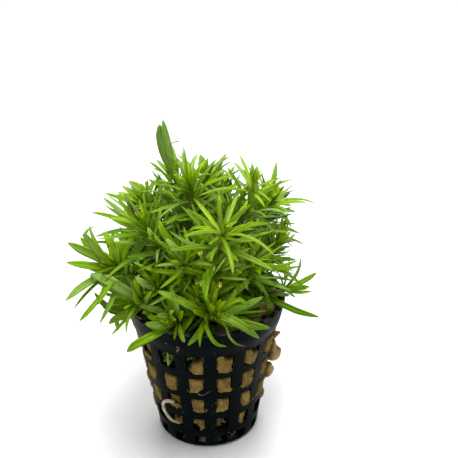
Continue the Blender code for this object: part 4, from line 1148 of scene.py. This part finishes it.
def blade_markings():
    """A group for a leaf's faces: the tissue by its age, the midrib, veins, margin and mottling."""
    group = bpy.data.node_groups.new("blade markings", "ShaderNodeTree")
    sockets = group.interface
    for name in ("Young", "Grown", "Old", "Midrib"):
        sockets.new_socket(name, in_out="INPUT", socket_type="NodeSocketColor")
    sockets.new_socket("Colour", in_out="OUTPUT", socket_type="NodeSocketColor")
    sockets.new_socket("Height", in_out="OUTPUT", socket_type="NodeSocketFloat")
    sockets.new_socket("Gloss", in_out="OUTPUT", socket_type="NodeSocketFloat")
    nodes = Nodes(group)
    given = group.nodes.new("NodeGroupInput").outputs
    place = nodes.add("TexCoord", out="Object")
    _, depth, height = nodes.add("SeparateXYZ", Vector=place).node.outputs
    marks = nodes.add("Attribute", settings={"attribute_name": "leaf"}).node.outputs
    age, tone, blemish = nodes.add("SeparateColor", Color=marks["Color"]).node.outputs
    pallor = marks["Alpha"]
    blade = nodes.add("UVMap", settings={"uv_map": "blade"})
    across, along, _ = nodes.add("SeparateXYZ", Vector=blade).node.outputs
    mottled = nodes.noise(place, 620, 4, 0.6)
    uneven = nodes.math("SUBTRACT", mottled, 0.5)
    fine = nodes.noise(place, 2600, 2)

    # The tissue's colour by its age, then by the leaf's own tone and pallor and by its place: greyer further
    # back, with a painted sheen higher up and painted shade low down.
    aged = nodes.plus(age, nodes.times(uneven, 0.5))
    tissue = nodes.mix(nodes.between(aged, 0.05, 0.5), given["Young"], given["Grown"])
    tissue = nodes.mix(nodes.between(aged, 0.45, 1.0), tissue, given["Old"])
    # Painted sheen: higher up, the leaves are painted paler, greyer and brighter.
    painted_sheen_up_high = nodes.between(height, 50 * MM, 96 * MM)
    tissue = nodes.mix(nodes.between(tone, 0.8, 1.0, 0.0, 0.3), tissue, (0.3, 0.47, 0.002, 1))
    tissue = nodes.mix(nodes.times(painted_sheen_up_high, 0.2), tissue, (0.2, 0.33, 0.035, 1))
    tissue = nodes.mix(nodes.between(depth, 3 * MM, 20 * MM, 0.0, 0.4), tissue, (0.14, 0.27, 0.05, 1))
    tissue = nodes.mix(nodes.times(pallor, 0.65), tissue, (0.25, 0.39, 0.11, 1))
    # Each leaf's brightness: its own tone, with painted shade and painted sheen by height, and fine mottling.
    tone_and_painted_light = nodes.between(tone, 0.0, 1.0, 0.62, 1.0)
    # Painted shade: low down, near the rim, the leaves are painted darker.
    tone_and_painted_light = nodes.plus(tone_and_painted_light, nodes.between(height, 47 * MM, 66 * MM, -0.3, 0.0))
    tone_and_painted_light = nodes.plus(tone_and_painted_light, nodes.times(painted_sheen_up_high, 0.06))
    tone_and_painted_light = nodes.times(tone_and_painted_light, nodes.between(fine, 0.2, 0.8, 0.86, 1.14))
    tissue = nodes.mix(1.0, tissue, nodes.add("CombineColor", Red=tone_and_painted_light, Green=tone_and_painted_light, Blue=tone_and_painted_light), "MULTIPLY")

    # Streaks along the blade, its pale foot, its margin and its midrib, and its brown tip.
    drawn = nodes.add(
        "CombineXYZ", X=nodes.times(across, 9.0), Y=nodes.times(along, 1.3), Z=nodes.times(tone, 40.0),
    )
    streak = nodes.noise(drawn, 1.0, 2, 0.6)
    tissue = nodes.mix(nodes.between(streak, 0.36, 0.5, 0.45, 0.0), tissue, given["Old"])
    bright = nodes.between(streak, 0.52, 0.68, 0.0, 0.45)
    tissue = nodes.mix(bright, tissue, given["Midrib"])
    tissue = nodes.mix(nodes.times(bright, pallor), tissue, (0.42, 0.54, 0.22, 1))
    tissue = nodes.mix(nodes.between(along, 0.0, 0.22, 0.55, 0.0), tissue, given["Midrib"])
    off_midrib = nodes.apart(across, 0.5)
    tissue = nodes.mix(nodes.between(off_midrib, 0.43, 0.5, 0.0, 0.3), tissue, given["Young"])
    rib = nodes.between(off_midrib, 0.025, 0.075, 1.0, 0.0)
    fading = nodes.between(along, 0.35, 1.0, 0.7, 0.15)
    tissue = nodes.mix(nodes.times(rib, fading), tissue, given["Midrib"])
    tip = nodes.between(nodes.plus(along, nodes.times(tone, 0.06)), 0.985, 1.03)
    tissue = nodes.mix(tip, tissue, (0.12, 0.07, 0.015, 1))

    # The dark bruise of the spotted leaf.
    reach = nodes.times(nodes.apart(along, 0.6), 0.55)
    reach = nodes.plus(reach, nodes.times(nodes.apart(across, 0.42), 0.6))
    reach = nodes.plus(reach, nodes.times(uneven, 0.25))
    bruise = nodes.times(blemish, nodes.between(reach, 0.1, 0.18, 1.0, 0.0))
    brown = nodes.mix(nodes.between(fine, 0.4, 0.6), (0.03, 0.016, 0.008, 1), (0.1, 0.075, 0.025, 1))
    tissue = nodes.mix(bruise, tissue, brown)

    relief = nodes.plus(nodes.times(fine, 0.25), nodes.times(streak, 0.8))
    out = group.nodes.new("NodeGroupOutput").inputs
    group.links.new(tissue, out["Colour"])
    group.links.new(relief, out["Height"])
    group.links.new(nodes.between(mottled, 0.3, 0.7), out["Gloss"])
    return group


BLADE_MARKINGS = blade_markings()


def leaf_finish(name, young, grown, old, midrib, shine, dull):
    """One face of the leaves. Light also passes a little way through its tissue."""
    made = plain_finish(
        name, grown, 0.4, Specular_IOR_Level=0.2, Specular_Tint=(0.75, 1, 0.3, 1),
        Subsurface_Weight=0.15, Subsurface_Radius=(0.5, 1.0, 0.2), Subsurface_Scale=0.5 * MM,
    )
    nodes = Nodes(made.node_tree)
    marked = made.node_tree.nodes.new("ShaderNodeGroup")
    marked.node_tree = BLADE_MARKINGS
    for socket, colour in zip(("Young", "Grown", "Old", "Midrib"), (young, grown, old, midrib)):
        marked.inputs[socket].default_value = (*colour, 1)
    feed(made, marked.outputs["Colour"], "Base Color")
    feed(made, nodes.between(marked.outputs["Gloss"], 0.0, 1.0, shine, dull), "Roughness")
    relief = nodes.add("Bump", Strength=0.35, Distance=0.00015, Height=marked.outputs["Height"])
    feed(made, relief, "Normal")
    return made


upper_finish = leaf_finish(
    "leaf upper face", (0.33, 0.5, 0.001), (0.165, 0.335, 0.001), (0.07, 0.19, 0.001),
    (0.3, 0.46, 0.008), 0.3, 0.5,
)
under_finish = leaf_finish(
    "leaf under face", (0.32, 0.5, 0.002), (0.19, 0.36, 0.006), (0.12, 0.28, 0.01),
    (0.34, 0.48, 0.03), 0.42, 0.6,
)
stem_finish = plain_finish(
    "pale stem", (0.2, 0.3, 0.04), 0.45, Subsurface_Weight=0.15, Subsurface_Scale=0.4 * MM,
)
nodes, place = patterns_of(stem_finish)
streaks = nodes.noise(nodes.add("Mapping", Vector=place, Scale=(1.0, 1.0, 0.2)), 1300, 3)
marks = nodes.add("Attribute", out="Color", settings={"attribute_name": "leaf"})
below_bud = nodes.add("SeparateColor", Color=marks)
browned = nodes.times(nodes.between(nodes.noise(place, 130, 3), 0.4, 0.66), below_bud)
green = nodes.mix(streaks, (0.14, 0.25, 0.008, 1), (0.3, 0.38, 0.04, 1))
feed(stem_finish, nodes.mix(browned, green, (0.14, 0.1, 0.03, 1)), "Base Color")
feed(stem_finish, nodes.add("Bump", Strength=0.3, Distance=0.0002, Height=streaks), "Normal")
bud_finish = plain_finish("yellow bud", (0.5, 0.5, 0.07), 0.6, Specular_IOR_Level=0.2)
nodes, place = patterns_of(bud_finish)
ripe = nodes.between(nodes.noise(place, 900, 2), 0.4, 0.6)
feed(bud_finish, nodes.mix(ripe, (0.4, 0.46, 0.01, 1), (0.78, 0.72, 0.12, 1)), "Base Color")
for name, (rings, leaves) in shoots.items():
    shoot_mesh = bmesh.new()
    marks = shoot_mesh.verts.layers.float_color.new("leaf")
    shoot_mesh.loops.layers.uv.new("blade")
    line = through([middle for middle, _ in rings], STEM_STEPS)
    radii = [rings[i // STEM_STEPS][1] * STEM_SHARE for i in range(len(line))]
    radii[-1] = STEM_END
    tube(shoot_mesh, line, radii, STEM_SIDES, SKIN_STEM)
    for growth, thick, skin in side_growths[name]:
        thinning = PETAL_THINNING if skin == SKIN_BUD else 0
        radii = [thick * MM * (1 - thinning * i) for i in range(len(growth))]
        tube(shoot_mesh, growth, radii, GROWTH_SIDES, skin)
    for vert in shoot_mesh.verts:
        vert[marks] = (min(1, (line[-1] - vert.co).length / (25 * MM)), 0.5, 0, 0)
    for leaf in leaves:
        lay_leaf(shoot_mesh, marks, leaf)
    shoot = piece(
        name.replace("shoot", "leafy_shoot"), shoot_mesh,
        stem_finish, upper_finish, under_finish, bud_finish,
    )
    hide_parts(name)
    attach(shoot, "root")
